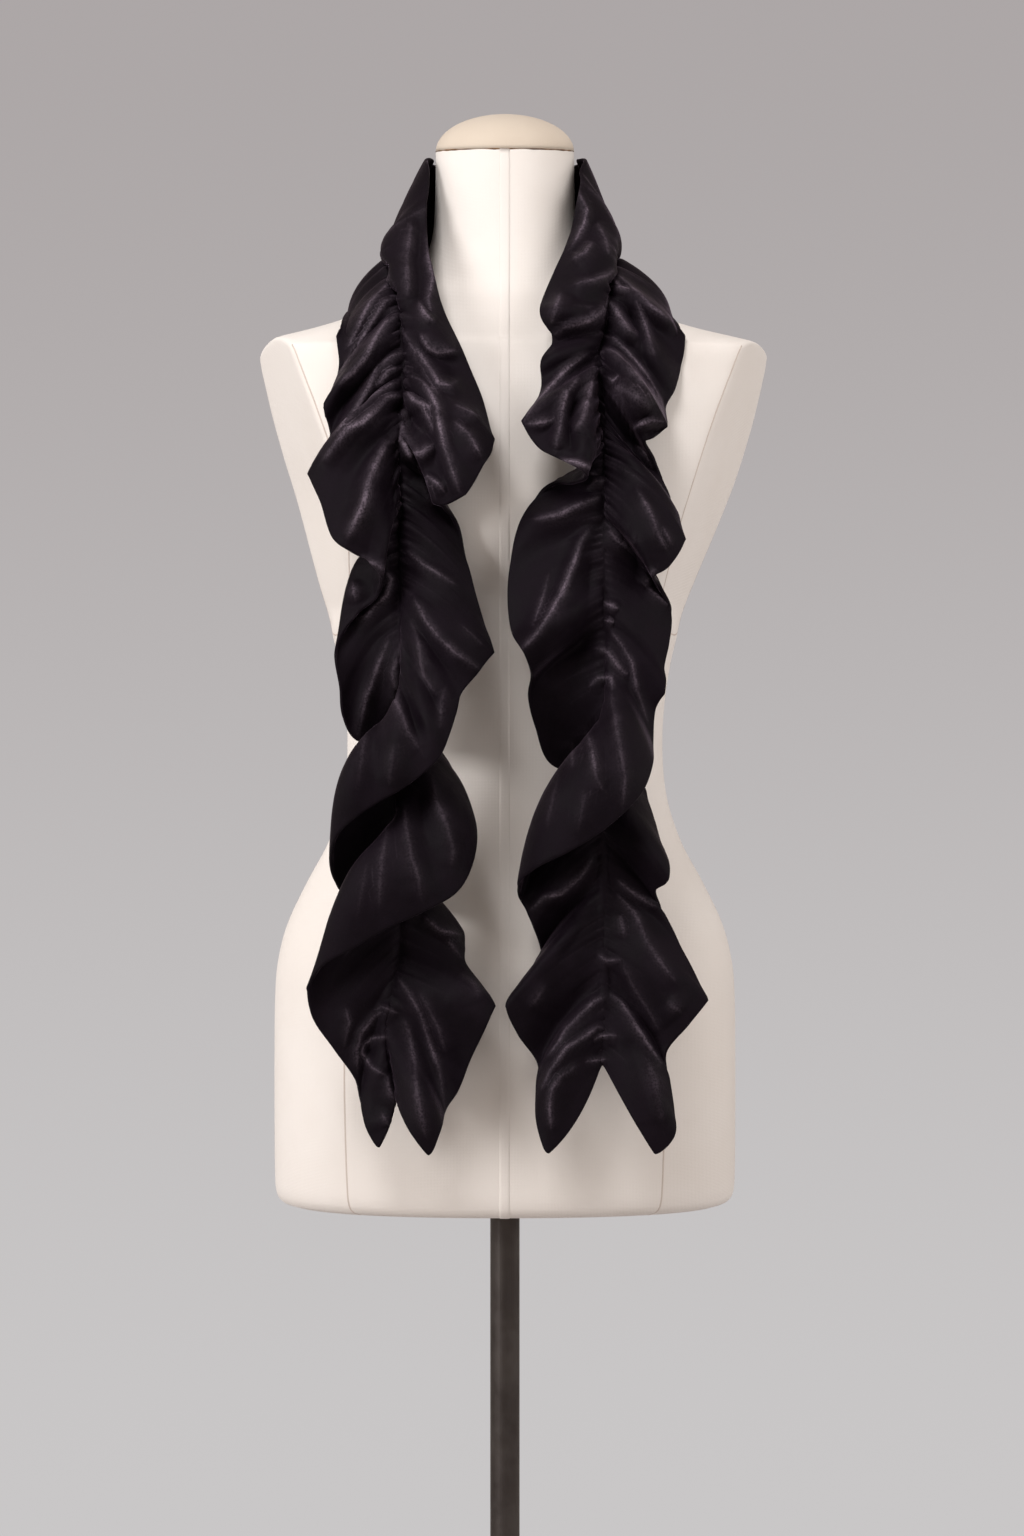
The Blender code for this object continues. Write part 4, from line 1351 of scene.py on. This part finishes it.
@dataclass
class RuffledScarf:
    """The gathered velvet strip, in the three stretches that show."""

    form: FormShape
    finish: Velvet
    thickness: float = 2.8     # two layers of velvet
    clearance: float = 0.6     # least gap to the body
    cut_width: float = 165.0
    length_line: int = 4       # line beside each hem, inside its corners, that gives the length
    nape: float = -160.0       # place along the seam at the back of the neck
    split: float = -6.0        # and where the neck stretch meets each fall
    step: float = 1.6          # between lines along the seam
    end_run: float = 3.0       # last stretch before an end, where the lines stand closer
    end_steps: tuple[float, ...] = (2.2, 1.5, 0.9, 0.5, 0.2, 0.0)
    near_share: float = 0.16   # the first share of a fold, beside the seam, and its lines
    near_lines: int = 11
    hem_share: float = 0.95    # where the lines of its middle end
    middle_lines: int = 34
    hem_shares: tuple[float, ...] = (0.965, 0.978, 0.988, 0.995, 1.0)
    collar_wave: float = 2.0   # height of the ruffle waves round the neck, above the seam
    skirt_wave: float = 7.0    # and below it
    wave_pitch: float = 40.0
    puff_turn: float = 60.0    # seam length over which the puff turns to face the front
    arch_share: float = 0.35   # how far a full arch moves the middle of a fold
    corner_reach: float = 5.0
    corner_gap: float = 15.0   # way along the hem to the points from which a corner points away
    tip_run: float = 0.06      # share by which the folds are shorter at the very end
    tip_length: float = 7.0
    half_run: float = 80.0     # usual way from the seam to the hem
    seam_sink: float = 2.0
    seam_sink_width: float = 4.0
    puckers: tuple[Puckers, ...] = (
        Puckers(26.0, 3.2, 75.0, 0.4, 0.95), Puckers(12.5, 2.4, 30.0, 0.3, 0.55),
        Puckers(6.5, 0.9, 11.0, 0.25, 0.0),
    )
    skirt_seed: int = 11
    collar_seed: int = 47
    swell_seed: int = 10       # added to a seed for the change in height
    drift_run: float = 3.0     # pitches over which the puckers' places wander
    drift_share: float = 0.5
    bend_share: float = 0.4    # how much that wandering grows towards the hem
    swell_run: float = 1.7     # pitches over which their height changes
    swell_share: float = 0.6
    fade_power: float = 1.4
    start_share: float = 0.25  # of a pitch, over which the puckers begin beside the seam
    twice_mean: float = 1.27   # twice the mean height of overlapping folds
    overlap: float = 0.24      # how far a pucker leans over the next
    crest_keenness: float = 6.0  # how narrow the painted highlight on a pucker's crest is
    calm_share: float = 0.65   # share of the puckers that is gone below the calm run
    calm_run: tuple[float, float] = (170.0, 250.0)
    shown_run: float = 30.0    # below the split, over which the puckers begin to give way
    folds: FrontFolds = FrontFolds()
    least_half: float = 0.08   # half thickness left at an edge, by the usual one

    def shares(self) -> np.ndarray:
        """Places from the seam to the hem, closer together at both ends.

        Returns:
            The places, from 0 at the seam to 1 at the hem.
        """
        near = np.linspace(0.0, self.near_share, self.near_lines)
        middle = np.linspace(self.near_share, self.hem_share, self.middle_lines)[1:]
        return np.concatenate([near, middle, self.hem_shares])

    def downs(self, draping: Draping) -> np.ndarray:
        """Places along the seam from the nape to the end, with a line on the split.

        Args:
            draping: the half of the scarf.

        Returns:
            The places.
        """
        last = draping.end - self.end_run
        above, below = (
            np.linspace(start, end, round((end - start) / self.step) + 1)
            for start, end in ((self.nape, self.split), (self.split, last))
        )
        return np.concatenate([above, below[1:], draping.end - np.array(self.end_steps)])

    def outwards(self, seam: np.ndarray, downs: np.ndarray) -> np.ndarray:
        """Level direction in which folds puff: away from the neck, then to the front.

        Args:
            seam: points of the gathered seam.
            downs: their places along it.

        Returns:
            One direction for each point.
        """
        away = unit(seam * np.array([1.0, 1.0, 0.0]))
        turn = np.clip(downs / self.puff_turn, 0.0, 1.0)[:, None]
        return unit(away * (1 - turn) + np.array([0.0, -1.0, 0.0]) * turn)

    def pointed(self, hem: np.ndarray, downs: np.ndarray, corners: list[tuple[float, float]]) -> np.ndarray:
        """Draw a hem out to its corners.

        Args:
            hem: points along the hem.
            downs: places along the seam.
            corners: place of each corner, and how far it points beyond the smooth hem.

        Returns:
            The hem with its corners.
        """
        steps = np.linalg.norm(np.diff(hem, axis=0), axis=-1)
        run = np.concatenate([[0.0], np.cumsum(steps)])
        drawn = hem.copy()
        for place, push in corners:
            middle = int(np.abs(downs - place).argmin())
            beside = [
                int(np.abs(run - run[middle] - gap).argmin()) for gap in (-self.corner_gap, self.corner_gap)
            ]
            outwards = unit(hem[middle] - hem[beside].mean(axis=0))
            near = np.exp(-np.abs(run - run[middle]) / self.corner_reach)
            drawn += outwards * (push * near)[:, None]
        return drawn

    def fold_points(
        self, draping: Draping, folds: Track, corners: list[tuple[float, float]], wave: float,
        downs: np.ndarray,
    ) -> np.ndarray:
        """Middle layer of one half of the strip, from the seam to the hem.

        Args:
            draping: the half of the scarf.
            folds: its folds on one side of the seam.
            corners: corners of its hem on that side.
            wave: height of the ruffle waves round the neck.
            downs: places along the seam.

        Returns:
            Points indexed by place along the seam and place towards the hem.
        """
        side, front, height = draping.seam.at(downs).T
        seam = np.stack([side, -front, height], axis=-1)
        side, front, height, puff, arch, bow = folds.at(downs).T
        outwards = self.outwards(seam, downs)
        fade = np.clip((self.split - downs) / self.wave_pitch, 0.0, 1.0)
        ripple = wave * fade * np.cos(2 * math.pi * (downs - self.nape) / self.wave_pitch)
        hem = np.stack([side, -front, height], axis=-1) + outwards * ripple[:, None]
        hem = self.pointed(hem, downs, corners)
        run = hem - seam
        level, drop = 0.5 + self.arch_share * arch, 0.5 - self.arch_share * arch
        reach = np.stack([run[:, 0] * level + 2 * bow, run[:, 1] * level, run[:, 2] * drop], axis=-1)
        middle = seam + reach + outwards * (2 * puff)[:, None]
        corner = np.clip(1 - (draping.end - downs) / self.tip_length, 0.0, 1.0)
        kept = 1 - self.tip_run * (1 - np.sqrt(1 - corner**2))
        s = self.shares()[None, :, None] * kept[:, None, None]
        return (1 - s) ** 2 * seam[:, None] + 2 * s * (1 - s) * middle[:, None] + s**2 * hem[:, None]

    def overlapping(self, turns: np.ndarray, crest: np.ndarray) -> np.ndarray:
        """Rows of folds that lie on each other, with sharp valleys between them.

        Args:
            turns: place counted in folds.
            crest: where in a fold its crest lies, from 0 to 1.

        Returns:
            Height from 0 in the valleys to 1 on the crests.
        """
        part = turns - np.floor(turns)
        rising = np.sin(math.pi / 2 * part / crest)
        falling = np.cos(math.pi / 2 * (part - crest) / (1 - crest))
        return np.where(part < crest, rising, falling)

    def relief(self, draping: Draping, seed: int, shown: np.ndarray) -> tuple[np.ndarray, np.ndarray]:
        """Height of the puckers over one half of the strip.

        Args:
            draping: the half of the scarf.
            seed: picks their unevenness.
            shown: share to which each point is seen from the front, where the creases lie.

        Returns:
            Height along the cloth's normal, by place along the seam and to the hem, and for
            each place the painted crest highlight's strength and its offset from the crest.
        """
        downs = self.downs(draping)
        run = self.shares()[None, :] * self.half_run
        along = (downs - self.nape) * (1 if draping.side is Side.RIGHT else -1)
        crest = 0.5 - self.overlap * np.tanh(along / self.wave_pitch)[:, None]
        calmed = 1 - self.calm_share * smooth_step(*self.calm_run, downs)[:, None]
        total = -self.seam_sink * np.exp(-(run / self.seam_sink_width) ** 2)
        gleam = np.zeros((*total.shape, 2))
        for order, scale in enumerate(self.puckers):
            drift = wander(seed + order, along, self.drift_run * scale.pitch)[:, None]
            swell = wander(seed + self.swell_seed + order, along, self.swell_run * scale.pitch)[:, None]
            strength = 1 + self.swell_share * swell
            bend = self.bend_share * drift * run / self.half_run
            phase = math.pi * (along[:, None] / scale.pitch + self.drift_share * drift) + bend
            turns = phase / math.pi
            shape = self.overlapping(turns, crest)
            start = smooth_step(0.0, self.start_share * scale.pitch, run)
            fade = np.exp(-(run / scale.reach) ** self.fade_power) * start
            kept = calmed * (1 - scale.given_way * shown)
            total = total + scale.height * strength * (2 * shape - self.twice_mean) * fade * kept
            part = turns - np.floor(turns) - crest
            # painted highlight on the puckers' crests
            near = scale.gleam * strength * shape**self.crest_keenness * fade * kept
            own = np.stack([near, part * scale.pitch], axis=-1)
            gleam = np.where(near[..., None] > gleam[..., :1], own, gleam)
        return total, gleam

    def middle_layer(self, draping: Draping) -> tuple[np.ndarray, np.ndarray]:
        """One half's middle layer with its puckers and creases.

        Args:
            draping: the half of the scarf.

        Returns:
            Its points by place along the seam, and across from the skirt's hem to the collar's; and
            for each point the painted crest highlight's strength and its offset from the crest.
        """
        downs = self.downs(draping)
        corners = draping.corners
        skirt = self.fold_points(draping, draping.skirt, corners.skirt, self.skirt_wave, downs)
        collar = self.fold_points(draping, draping.collar, corners.collar, self.collar_wave, downs)
        layer = np.concatenate([skirt[:, ::-1], collar[:, 1:]], axis=1)
        below_split = smooth_step(self.split, self.split + self.shown_run, downs)[:, None]
        shown = self.folds.shown(layer) * below_split
        middle = len(self.shares()) - 1
        skirt_relief = self.relief(draping, self.skirt_seed, shown[:, middle::-1])
        collar_relief = self.relief(draping, self.collar_seed, shown[:, middle:])
        relief, gleam = (
            np.concatenate([one[:, ::-1], other[:, 1:]], axis=1)
            for one, other in zip(skirt_relief, collar_relief)
        )
        rows, columns = layer.shape[:2]
        flat = self.form.cleared(layer.reshape(-1, 3), self.thickness / 2 + self.clearance)
        normals = point_normals(flat, grid_faces(rows, columns))
        forwards = -np.sign(normals.reshape(rows, columns, 3)[rows // 2, columns // 2, 1])
        flat = flat + normals * forwards * relief.reshape(-1, 1)
        creased, crests = self.folds.raised(flat.reshape(rows, columns, 3), draping.creases)
        creased = self.form.cleared(creased.reshape(-1, 3), self.thickness / 2 + self.clearance)
        gleam = np.where(crests[..., :1] > gleam[..., :1], crests, gleam)
        return creased.reshape(rows, columns, 3), gleam

    def wall(self, layer: np.ndarray, gleam: np.ndarray, run: np.ndarray) -> Wall:
        """Give the middle layer its two faces, rounded at the hems and the ends.

        Args:
            layer: middle-layer points, along the seam and across.
            gleam: the painted crest highlight's strength at each of them, and its offset from that crest.
            run: distance of each line to the nearer end of the scarf.

        Returns:
            Both faces.
        """
        rows, columns = layer.shape[:2]
        normals = point_normals(layer.reshape(-1, 3), grid_faces(rows, columns)).reshape(layer.shape)
        shares = self.shares()
        across = np.concatenate([shares[::-1], shares[1:]])
        edge = np.minimum((1 - across)[None, :] * self.half_run, run[:, None])
        radius = self.thickness / 2
        roundness = np.sqrt(1 - np.clip(1 - edge / radius, 0.0, 1.0) ** 2)
        half = radius * np.maximum(roundness, self.least_half)[..., None]
        points = np.stack([layer + normals * half, layer - normals * half])
        shading = point_normals(points.reshape(-1, 3), self.shell(rows, columns))
        return Wall(points, shading.reshape(points.shape), np.stack([gleam, gleam]))

    def shell(self, rows: int, columns: int) -> np.ndarray:
        """Quads that close a strip of both faces into one wall.

        Args:
            rows: lines along the seam.
            columns: points in each line.

        Returns:
            Four point indices for each quad.
        """
        top = grid_faces(rows, columns)
        bottom = grid_faces(rows, columns, rows * columns)[:, ::-1]
        index = np.arange(2 * rows * columns).reshape(2, rows, columns)
        rims = []
        for edge in (index[:, :, 0], index[:, ::-1, -1], index[:, 0, ::-1], index[:, -1, :]):
            rims.append(np.stack([edge[0, :-1], edge[1, :-1], edge[1, 1:], edge[0, 1:]], axis=-1))
        return np.concatenate([top, bottom, *rims])

    def build(self) -> list[bpy.types.Object]:
        """Build and dress the three stretches.

        Returns:
            The pieces: the viewer's right fall, the neck and the viewer's left fall.
        """
        left, right = Draping.of(Side.LEFT), Draping.of(Side.RIGHT)
        (left_layer, left_gleam), (right_layer, right_gleam) = map(self.middle_layer, (left, right))
        left_downs, right_downs = self.downs(left), self.downs(right)
        run = np.concatenate([(left.end - left_downs)[::-1], (right.end - right_downs)[1:]])
        layer = np.concatenate([left_layer[::-1], right_layer[1:]])
        gleam = np.concatenate([left_gleam[::-1], right_gleam[1:]])
        wall = self.wall(layer, gleam, run)
        first = len(left_downs) - 1 - int(np.argmin(np.abs(left_downs - self.split)))
        second = len(left_downs) - 1 + int(np.argmin(np.abs(right_downs - self.split)))
        stretches = (
            ("velvet_left_fall", "scarf_left_fall", 0, first),
            ("velvet_neck", "scarf_neck", first, second),
            ("velvet_right_fall", "scarf_right_fall", second, len(layer) - 1),
        )
        return [self.stretch(*stretch, wall) for stretch in stretches]

    def stretch(self, name: str, node: str, start: int, end: int, wall: Wall) -> bpy.types.Object:
        """Cut one stretch out of the whole scarf and dress it.

        Args:
            name: the piece's name.
            node: the solid that it stands for.
            start: its first line in the whole scarf.
            end: its last line.
            wall: the whole scarf's wall.

        Returns:
            The stretch.
        """
        part = slice(start, end + 1)
        rows, columns = end + 1 - start, wall.points.shape[2]
        piece = make_piece(
            name, wall.points[:, part].reshape(-1, 3), self.shell(rows, columns),
            wall.normals[:, part].reshape(-1, 3),
        )
        for order, name in enumerate(CREST_VALUES):
            values = piece.data.attributes.new(name, "FLOAT", "POINT")
            values.data.foreach_set("value", wall.crests[:, part, :, order].ravel())
        self.finish.dress(piece)
        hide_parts(node)
        return piece


# ---- the dress form ----

# Cross section of a seam line: across it by its width, above the cover by its rise
TAPE_PROFILE = np.array([(-0.5, -0.6), (-0.42, 0.7), (-0.2, 1.0), (0.2, 1.0), (0.42, 0.7), (0.5, -0.6)])


@dataclass
class SeamTape:
    """A narrow raised line that a seam draws on the cover."""

    name: str
    width: float
    rise: float

    def build(self, points: np.ndarray, normals: np.ndarray) -> bpy.types.Object:
        """Lay the line along a path.

        Args:
            points: the path on the cover.
            normals: the cover's outward direction at each of its points.

        Returns:
            The line as one piece.
        """
        along = unit(np.gradient(points, axis=0))
        across = unit(np.cross(along, normals))
        rings = (
            points[:, None]
            + across[:, None] * (TAPE_PROFILE[:, 0] * self.width)[None, :, None]
            + normals[:, None] * (TAPE_PROFILE[:, 1] * self.rise)[None, :, None]
        )
        rows, columns = rings.shape[:2]
        faces = grid_faces(rows, columns, closed=True).tolist()
        faces += [list(range(columns))[::-1], list(range((rows - 1) * columns, rows * columns))]
        return make_piece(self.name, rings.reshape(-1, 3), faces)


@dataclass
class DressForm:
    """The limbless padded body, its neck cap, its seams and its stand."""

    shape: FormShape
    cover: Finish
    seam_cover: Finish
    cap_cover: Finish
    thread: Finish
    metal: Finish
    columns: int = 168           # points round the body
    edge_rows: int = 4           # sections of its rounded lower edge
    edge_levels: int = 13
    level_step: float = 4.0
    shoulder_run: tuple[float, float] = (1396.0, 1456.0)
    shoulder_step: float = 1.25
    sharp_angle: float = 40.0    # degrees between faces that aren't shaded smooth
    cap_height: float = 28.0
    cap_levels: int = 14
    cap_gap: float = 0.3
    thread_radius: float = 0.5   # of the sewn line round the cap
    thread_swell: float = 0.25   # how unevenly it is sewn
    thread_sink: float = 0.2
    thread_sides: int = 6
    thread_seed: int = 5
    thread_run: float = 600.0    # length over which its unevenness is read
    thread_pitch: float = 9.0
    centre_tape: float = 8.0
    tape_rise: float = 0.45
    panel_line: float = 1.4
    armhole_line: float = 1.2
    line_rise: float = 0.12
    feeler: tuple[float, float] = (0.01, 1.0)  # angle and height that feel how the cover faces
    armhole_top: float = 1422.0
    armhole_start: float = 20.0  # height above the plate's bottom where its seam stands upright
    armhole_dip: float = 16.0
    armhole_points: int = 16     # along the dip under the plate
    edge_halvings: int = 30      # steps in the search for a plate's edge

    def heights(self) -> np.ndarray:
        """Levels of the body, closer together at the rounded lower edge and the shoulders.

        Returns:
            The levels, upwards.
        """
        order = np.arange(self.edge_rows)
        lower = [row.height for row in FORM_SECTIONS[:self.edge_rows]]
        edge = np.interp(np.linspace(0, order[-1], self.edge_levels), order, lower)
        start, end = self.shoulder_run
        levels = [
            np.linspace(low, high, round((high - low) / step) + 1)[1:]
            for low, high, step in (
                (lower[-1], start, self.level_step), (start, end, self.shoulder_step),
                (end, self.shape.top, self.level_step),
            )
        ]
        return np.concatenate([edge, *levels])

    def body(self) -> bpy.types.Object:
        """The padded body and neck as one closed skin.

        Returns:
            The dressed body.
        """
        heights = self.heights()
        angles = np.arange(self.columns) * 2 * math.pi / self.columns
        levels, around = np.meshgrid(heights, angles, indexing="ij")
        points = self.shape.surface(levels.ravel(), around.ravel())
        faces = grid_faces(len(heights), self.columns, closed=True)[:, ::-1].tolist()
        last = (len(heights) - 1) * self.columns
        faces.append(list(range(self.columns))[::-1])
        faces.append(list(range(last, last + self.columns)))
        piece = make_piece("padded_body", points, faces)
        piece.data.set_sharp_from_angle(angle=math.radians(self.sharp_angle))
        self.cover.dress(piece)
        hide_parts("form_torso")
        return piece

    def cap(self) -> bpy.types.Object:
        """Low dome over the neck's sloping top.

        Returns:
            The dressed cap.
        """
        angles = np.arange(self.columns) * 2 * math.pi / self.columns
        rim = self.shape.surface(np.full(self.columns, self.shape.top), angles)
        rings = []
        for lift in np.linspace(0, math.pi / 2, self.cap_levels, endpoint=False):
            ring = rim * [math.cos(lift), math.cos(lift), 1.0]
            slope = (rim[:, 2] - self.shape.top) * math.cos(lift)
            ring[:, 2] = self.shape.top + slope + self.cap_gap + self.cap_height * math.sin(lift)
            rings.append(ring)
        points = np.concatenate(rings + [[[0.0, 0.0, self.shape.top + self.cap_gap + self.cap_height]]])
        faces = grid_faces(self.cap_levels, self.columns, closed=True)[:, ::-1].tolist()
        last = (self.cap_levels - 1) * self.columns
        for step in range(self.columns):
            faces.append([last + step, last + (step + 1) % self.columns, len(points) - 1])
        faces.append(list(range(self.columns))[::-1])
        piece = make_piece("neck_cap", points, faces)
        self.cap_cover.dress(piece)
        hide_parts("form_neck_cap")
        return piece

    def cap_seam(self) -> bpy.types.Object:
        """Brown sewn line between the cap and the neck.

        Returns:
            The dressed line.
        """
        angles = np.linspace(0, 2 * math.pi, 2 * self.columns, endpoint=False)
        rim = self.shape.surface(np.full(len(angles), self.shape.top), angles)
        away = unit(rim * [1.0, 1.0, 0.0])
        turns = np.linspace(0, 2 * math.pi, self.thread_sides, endpoint=False)
        places = np.linspace(0, self.thread_run, len(angles))
        radius = self.thread_radius + self.thread_swell * wander(self.thread_seed, places, self.thread_pitch)
        ring = (
            rim[:, None]
            + away[:, None] * (np.cos(turns)[None, :, None] * radius[:, None, None] - self.thread_sink)
            + np.array([0.0, 0.0, 1.0]) * (np.sin(turns)[None, :, None] * radius[:, None, None])
        )
        faces = grid_faces(len(angles) + 1, len(turns), closed=True) % (len(angles) * len(turns))
        piece = make_piece("cap_seam", ring.reshape(-1, 3), faces.tolist())
        self.thread.dress(piece)
        return piece

    def lay(
        self, tape: SeamTape, finish: Finish, heights: np.ndarray, angles: np.ndarray
    ) -> bpy.types.Object:
        """Lay a seam line over the body.

        Args:
            tape: the line.
            finish: its finish.
            heights: heights of its path.
            angles: angles of its path round the body.

        Returns:
            The dressed line.
        """
        points = self.shape.surface(heights, angles)
        turn, lift = self.feeler
        beside = self.shape.surface(heights, angles + turn) - self.shape.surface(heights, angles - turn)
        upwards = self.shape.surface(heights + lift, angles) - self.shape.surface(heights - lift, angles)
        normals = unit(np.cross(beside, upwards))
        piece = tape.build(points, normals)
        finish.dress(piece)
        return piece

    def panel_angles(self, heights: np.ndarray) -> np.ndarray:
        """Angle from the side to the panel seam at each height."""
        return np.radians(Track(PANEL_ROWS).at(heights)[:, 0])

    def seams(self) -> list[bpy.types.Object]:
        """The centre tapes, the panel seams and the armhole seams.

        Returns:
            The dressed lines.
        """
        heights = self.heights()
        made = []
        for name, angle in (("centre_front_seam", -math.pi / 2), ("centre_back_seam", math.pi / 2)):
            tape = SeamTape(name, self.centre_tape, self.tape_rise)
            made.append(self.lay(tape, self.cover, heights, np.full(len(heights), angle)))
        panel = heights[heights < PANEL_ROWS[-1][0]]
        turn = self.panel_angles(panel)
        for name, angles in (
            ("panel_seam_front_left", -turn), ("panel_seam_front_right", turn - math.pi),
            ("panel_seam_back_left", turn), ("panel_seam_back_right", math.pi - turn),
        ):
            tape = SeamTape(name, self.panel_line, self.line_rise)
            made.append(self.lay(tape, self.seam_cover, panel, angles))
        for name, sign in (("armhole_seam_left", 1), ("armhole_seam_right", -1)):
            made.append(self.armhole(name, sign))
        return made

    def plate_edge(self, heights: np.ndarray, sign: int, outer: float) -> np.ndarray:
        """Angles, from the side, at which an armhole plate ends.

        Args:
            heights: the levels.
            sign: 1 for the viewer's right, -1 for the left.
            outer: angle beyond that edge: a quarter turn to the back, or minus one to the front.

        Returns:
            One angle for each level.
        """
        inner, outer = np.zeros(len(heights)), np.full(len(heights), outer)
        for _ in range(self.edge_halvings):
            middle = (inner + outer) / 2
            x, y = self.shape.raw(heights, middle)
            cut = x > self.shape.plate_limit(heights, x * sign, y)
            inner, outer = np.where(cut, middle, inner), np.where(cut, outer, middle)
        return inner

    def armhole(self, name: str, sign: int) -> bpy.types.Object:
        """Seam line round one armhole plate: down its front, under it and up its back.

        Args:
            name: the piece's name.
            sign: 1 for the viewer's right, -1 for the left.

        Returns:
            The dressed line.
        """
        start = self.shape.plate_bottom + self.armhole_start
        heights = np.arange(start, self.armhole_top, self.level_step)
        front, back = (self.plate_edge(heights, sign, side * math.pi / 2) for side in (-1, 1))
        under = np.linspace(0.0, 1.0, self.armhole_points)[1:-1]
        dip = heights[0] - self.armhole_dip * np.sin(math.pi * under) ** 0.5
        path = np.concatenate([heights[::-1], dip, heights])
        angles = np.concatenate([front[::-1], front[0] + (back[0] - front[0]) * under, back])
        angles = angles if sign > 0 else math.pi - angles
        return self.lay(SeamTape(name, self.armhole_line, self.line_rise), self.seam_cover, path, angles)

    def build(self) -> list[bpy.types.Object]:
        """Build and dress the whole form.

        Returns:
            Every piece of it, the carried-over pole and base among them.
        """
        pole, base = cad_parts["form_pole"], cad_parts["form_base"]
        self.metal.dress(pole, base)
        return [self.body(), self.cap(), self.cap_seam(), *self.seams(), pole, base]


# ---- studio ----

class Softbox(NamedTuple):
    """A soft lamp: where it stands, what it points at, its size and its power."""

    name: str
    place: tuple[float, float, float]
    target: tuple[float, float, float]
    size: float
    power: float


@dataclass
class Studio:
    """Pale floor, soft lights, plain surroundings and the camera."""

    floor_finish: Finish
    camera_place: tuple[float, float, float] = (0.0053, -2.95, 1.11)
    lens: float = 92.2
    sensor: float = 36.0
    floor_radius: float = 1.5
    floor_sides: int = 96
    high_tone: Shade = Shade(0.415, 0.385, 0.385)
    low_tone: Shade = Shade(0.585, 0.570, 0.572)
    horizon: tuple[float, float] = (-0.2, 0.2)  # how steeply one looks where the tones meet
    ambient: float = 0.36
    ambient_tone: Shade = Shade(1.0, 0.88, 0.79)
    lamps: tuple[Softbox, ...] = (
        Softbox("key_light", (-2.4, -1.8, 1.6), (0.0, 0.0, 1.15), 1.15, 47.0),
        Softbox("right_fill", (1.8, -1.4, 2.2), (0.0, 0.0, 1.35), 2.0, 25.0),
        Softbox("top_light", (-0.6, -1.5, 3.0), (0.0, 0.0, 1.3), 0.8, 31.0),
        Softbox("left_side", (-2.8, 0.2, 1.4), (0.0, 0.0, 1.35), 1.2, 9.0),
        Softbox("right_side", (2.8, 0.2, 1.4), (0.0, 0.0, 1.35), 1.2, 10.0),
    )

    def floor(self) -> None:
        """Lay a round pale floor under the base."""
        angles = np.arange(self.floor_sides) * 2 * math.pi / self.floor_sides
        ring = np.stack([np.cos(angles), np.sin(angles), 0 * angles], axis=-1) * self.floor_radius
        mesh = bpy.data.meshes.new("floor")
        mesh.from_pydata(ring.tolist(), [], [list(range(self.floor_sides))])
        floor = bpy.data.objects.new("floor", mesh)
        bpy.context.scene.collection.objects.link(floor)
        self.floor_finish.dress(floor)

    def light(self, lamp: Softbox) -> None:
        """Set up one lamp.

        Args:
            lamp: the lamp.
        """
        data = bpy.data.lights.new(lamp.name, "AREA")
        data.energy, data.size = lamp.power, lamp.size
        light = bpy.data.objects.new(lamp.name, data)
        light.location = lamp.place
        direction = Vector(lamp.target) - Vector(lamp.place)
        light.rotation_euler = direction.to_track_quat("-Z", "Y").to_euler()
        bpy.context.scene.collection.objects.link(light)

    def surroundings(self) -> None:
        """Plain grey that lightens downwards, and a weaker ambient light."""
        world = bpy.data.worlds.new("studio")
        world.use_nodes = True
        bpy.context.scene.world = world
        board = Board(world.node_tree)
        shown = world.node_tree.nodes["Background"]
        direction = board.add("ShaderNodeTexCoord").outputs["Generated"]
        split = board.add("ShaderNodeSeparateXYZ", {"Vector": direction})
        height = board.ranged(split.outputs["Z"], *self.horizon)
        board.link(board.blend(height, self.low_tone.rgba, self.high_tone.rgba), shown.inputs["Color"])
        inputs = {"Color": self.ambient_tone.rgba, "Strength": self.ambient}
        ambient = board.add("ShaderNodeBackground", inputs)
        seen = board.add("ShaderNodeLightPath").outputs["Is Camera Ray"]
        mix = board.add("ShaderNodeMixShader", {0: seen, 1: ambient.outputs[0], 2: shown.outputs[0]})
        board.link(mix.outputs[0], world.node_tree.nodes["World Output"].inputs["Surface"])

    def camera(self) -> None:
        """Set up a level camera at the photograph's distance and height."""
        data = bpy.data.cameras.new("camera")
        data.lens, data.sensor_width = self.lens, self.sensor
        camera = bpy.data.objects.new("camera", data)
        camera.location = self.camera_place
        camera.rotation_euler = (math.pi / 2, 0.0, 0.0)
        bpy.context.scene.collection.objects.link(camera)
        bpy.context.scene.camera = camera

    def build(self) -> None:
        """Set up the floor, the lamps, the surroundings and the camera."""
        bpy.context.scene.view_settings.view_transform = "Standard"
        self.floor()
        for lamp in self.lamps:
            self.light(lamp)
        self.surroundings()
        self.camera()


# Tones of the cover's seams and of the cap, each with its faded tone
SEAM_TONES = (Shade(0.62, 0.53, 0.48), Shade(0.57, 0.48, 0.43))
CAP_TONES = (Shade(0.60, 0.51, 0.42), Shade(0.56, 0.47, 0.385))


def main() -> None:
    """Build the form, the scarf and the studio, and report every piece."""
    logging.basicConfig(level=logging.INFO, format="%(name)s: %(message)s")
    looks = SharedLooks()
    shape = FormShape()
    form = DressForm(
        shape,
        cover=FormCloth(looks),
        seam_cover=FormCloth(looks, "cover_seam", *SEAM_TONES),
        cap_cover=FormCloth(looks, "cap_cover", *CAP_TONES),
        thread=Thread(looks),
        metal=DarkMetal(looks),
    )
    scarf = RuffledScarf(shape, Velvet(looks))
    for assembly in (form, scarf):
        for piece in assembly.build():
            LOG.info("%s: %d faces", piece.name, len(piece.data.polygons))
    Studio(StudioFloor(looks)).build()


if __name__ == "__main__":
    main()
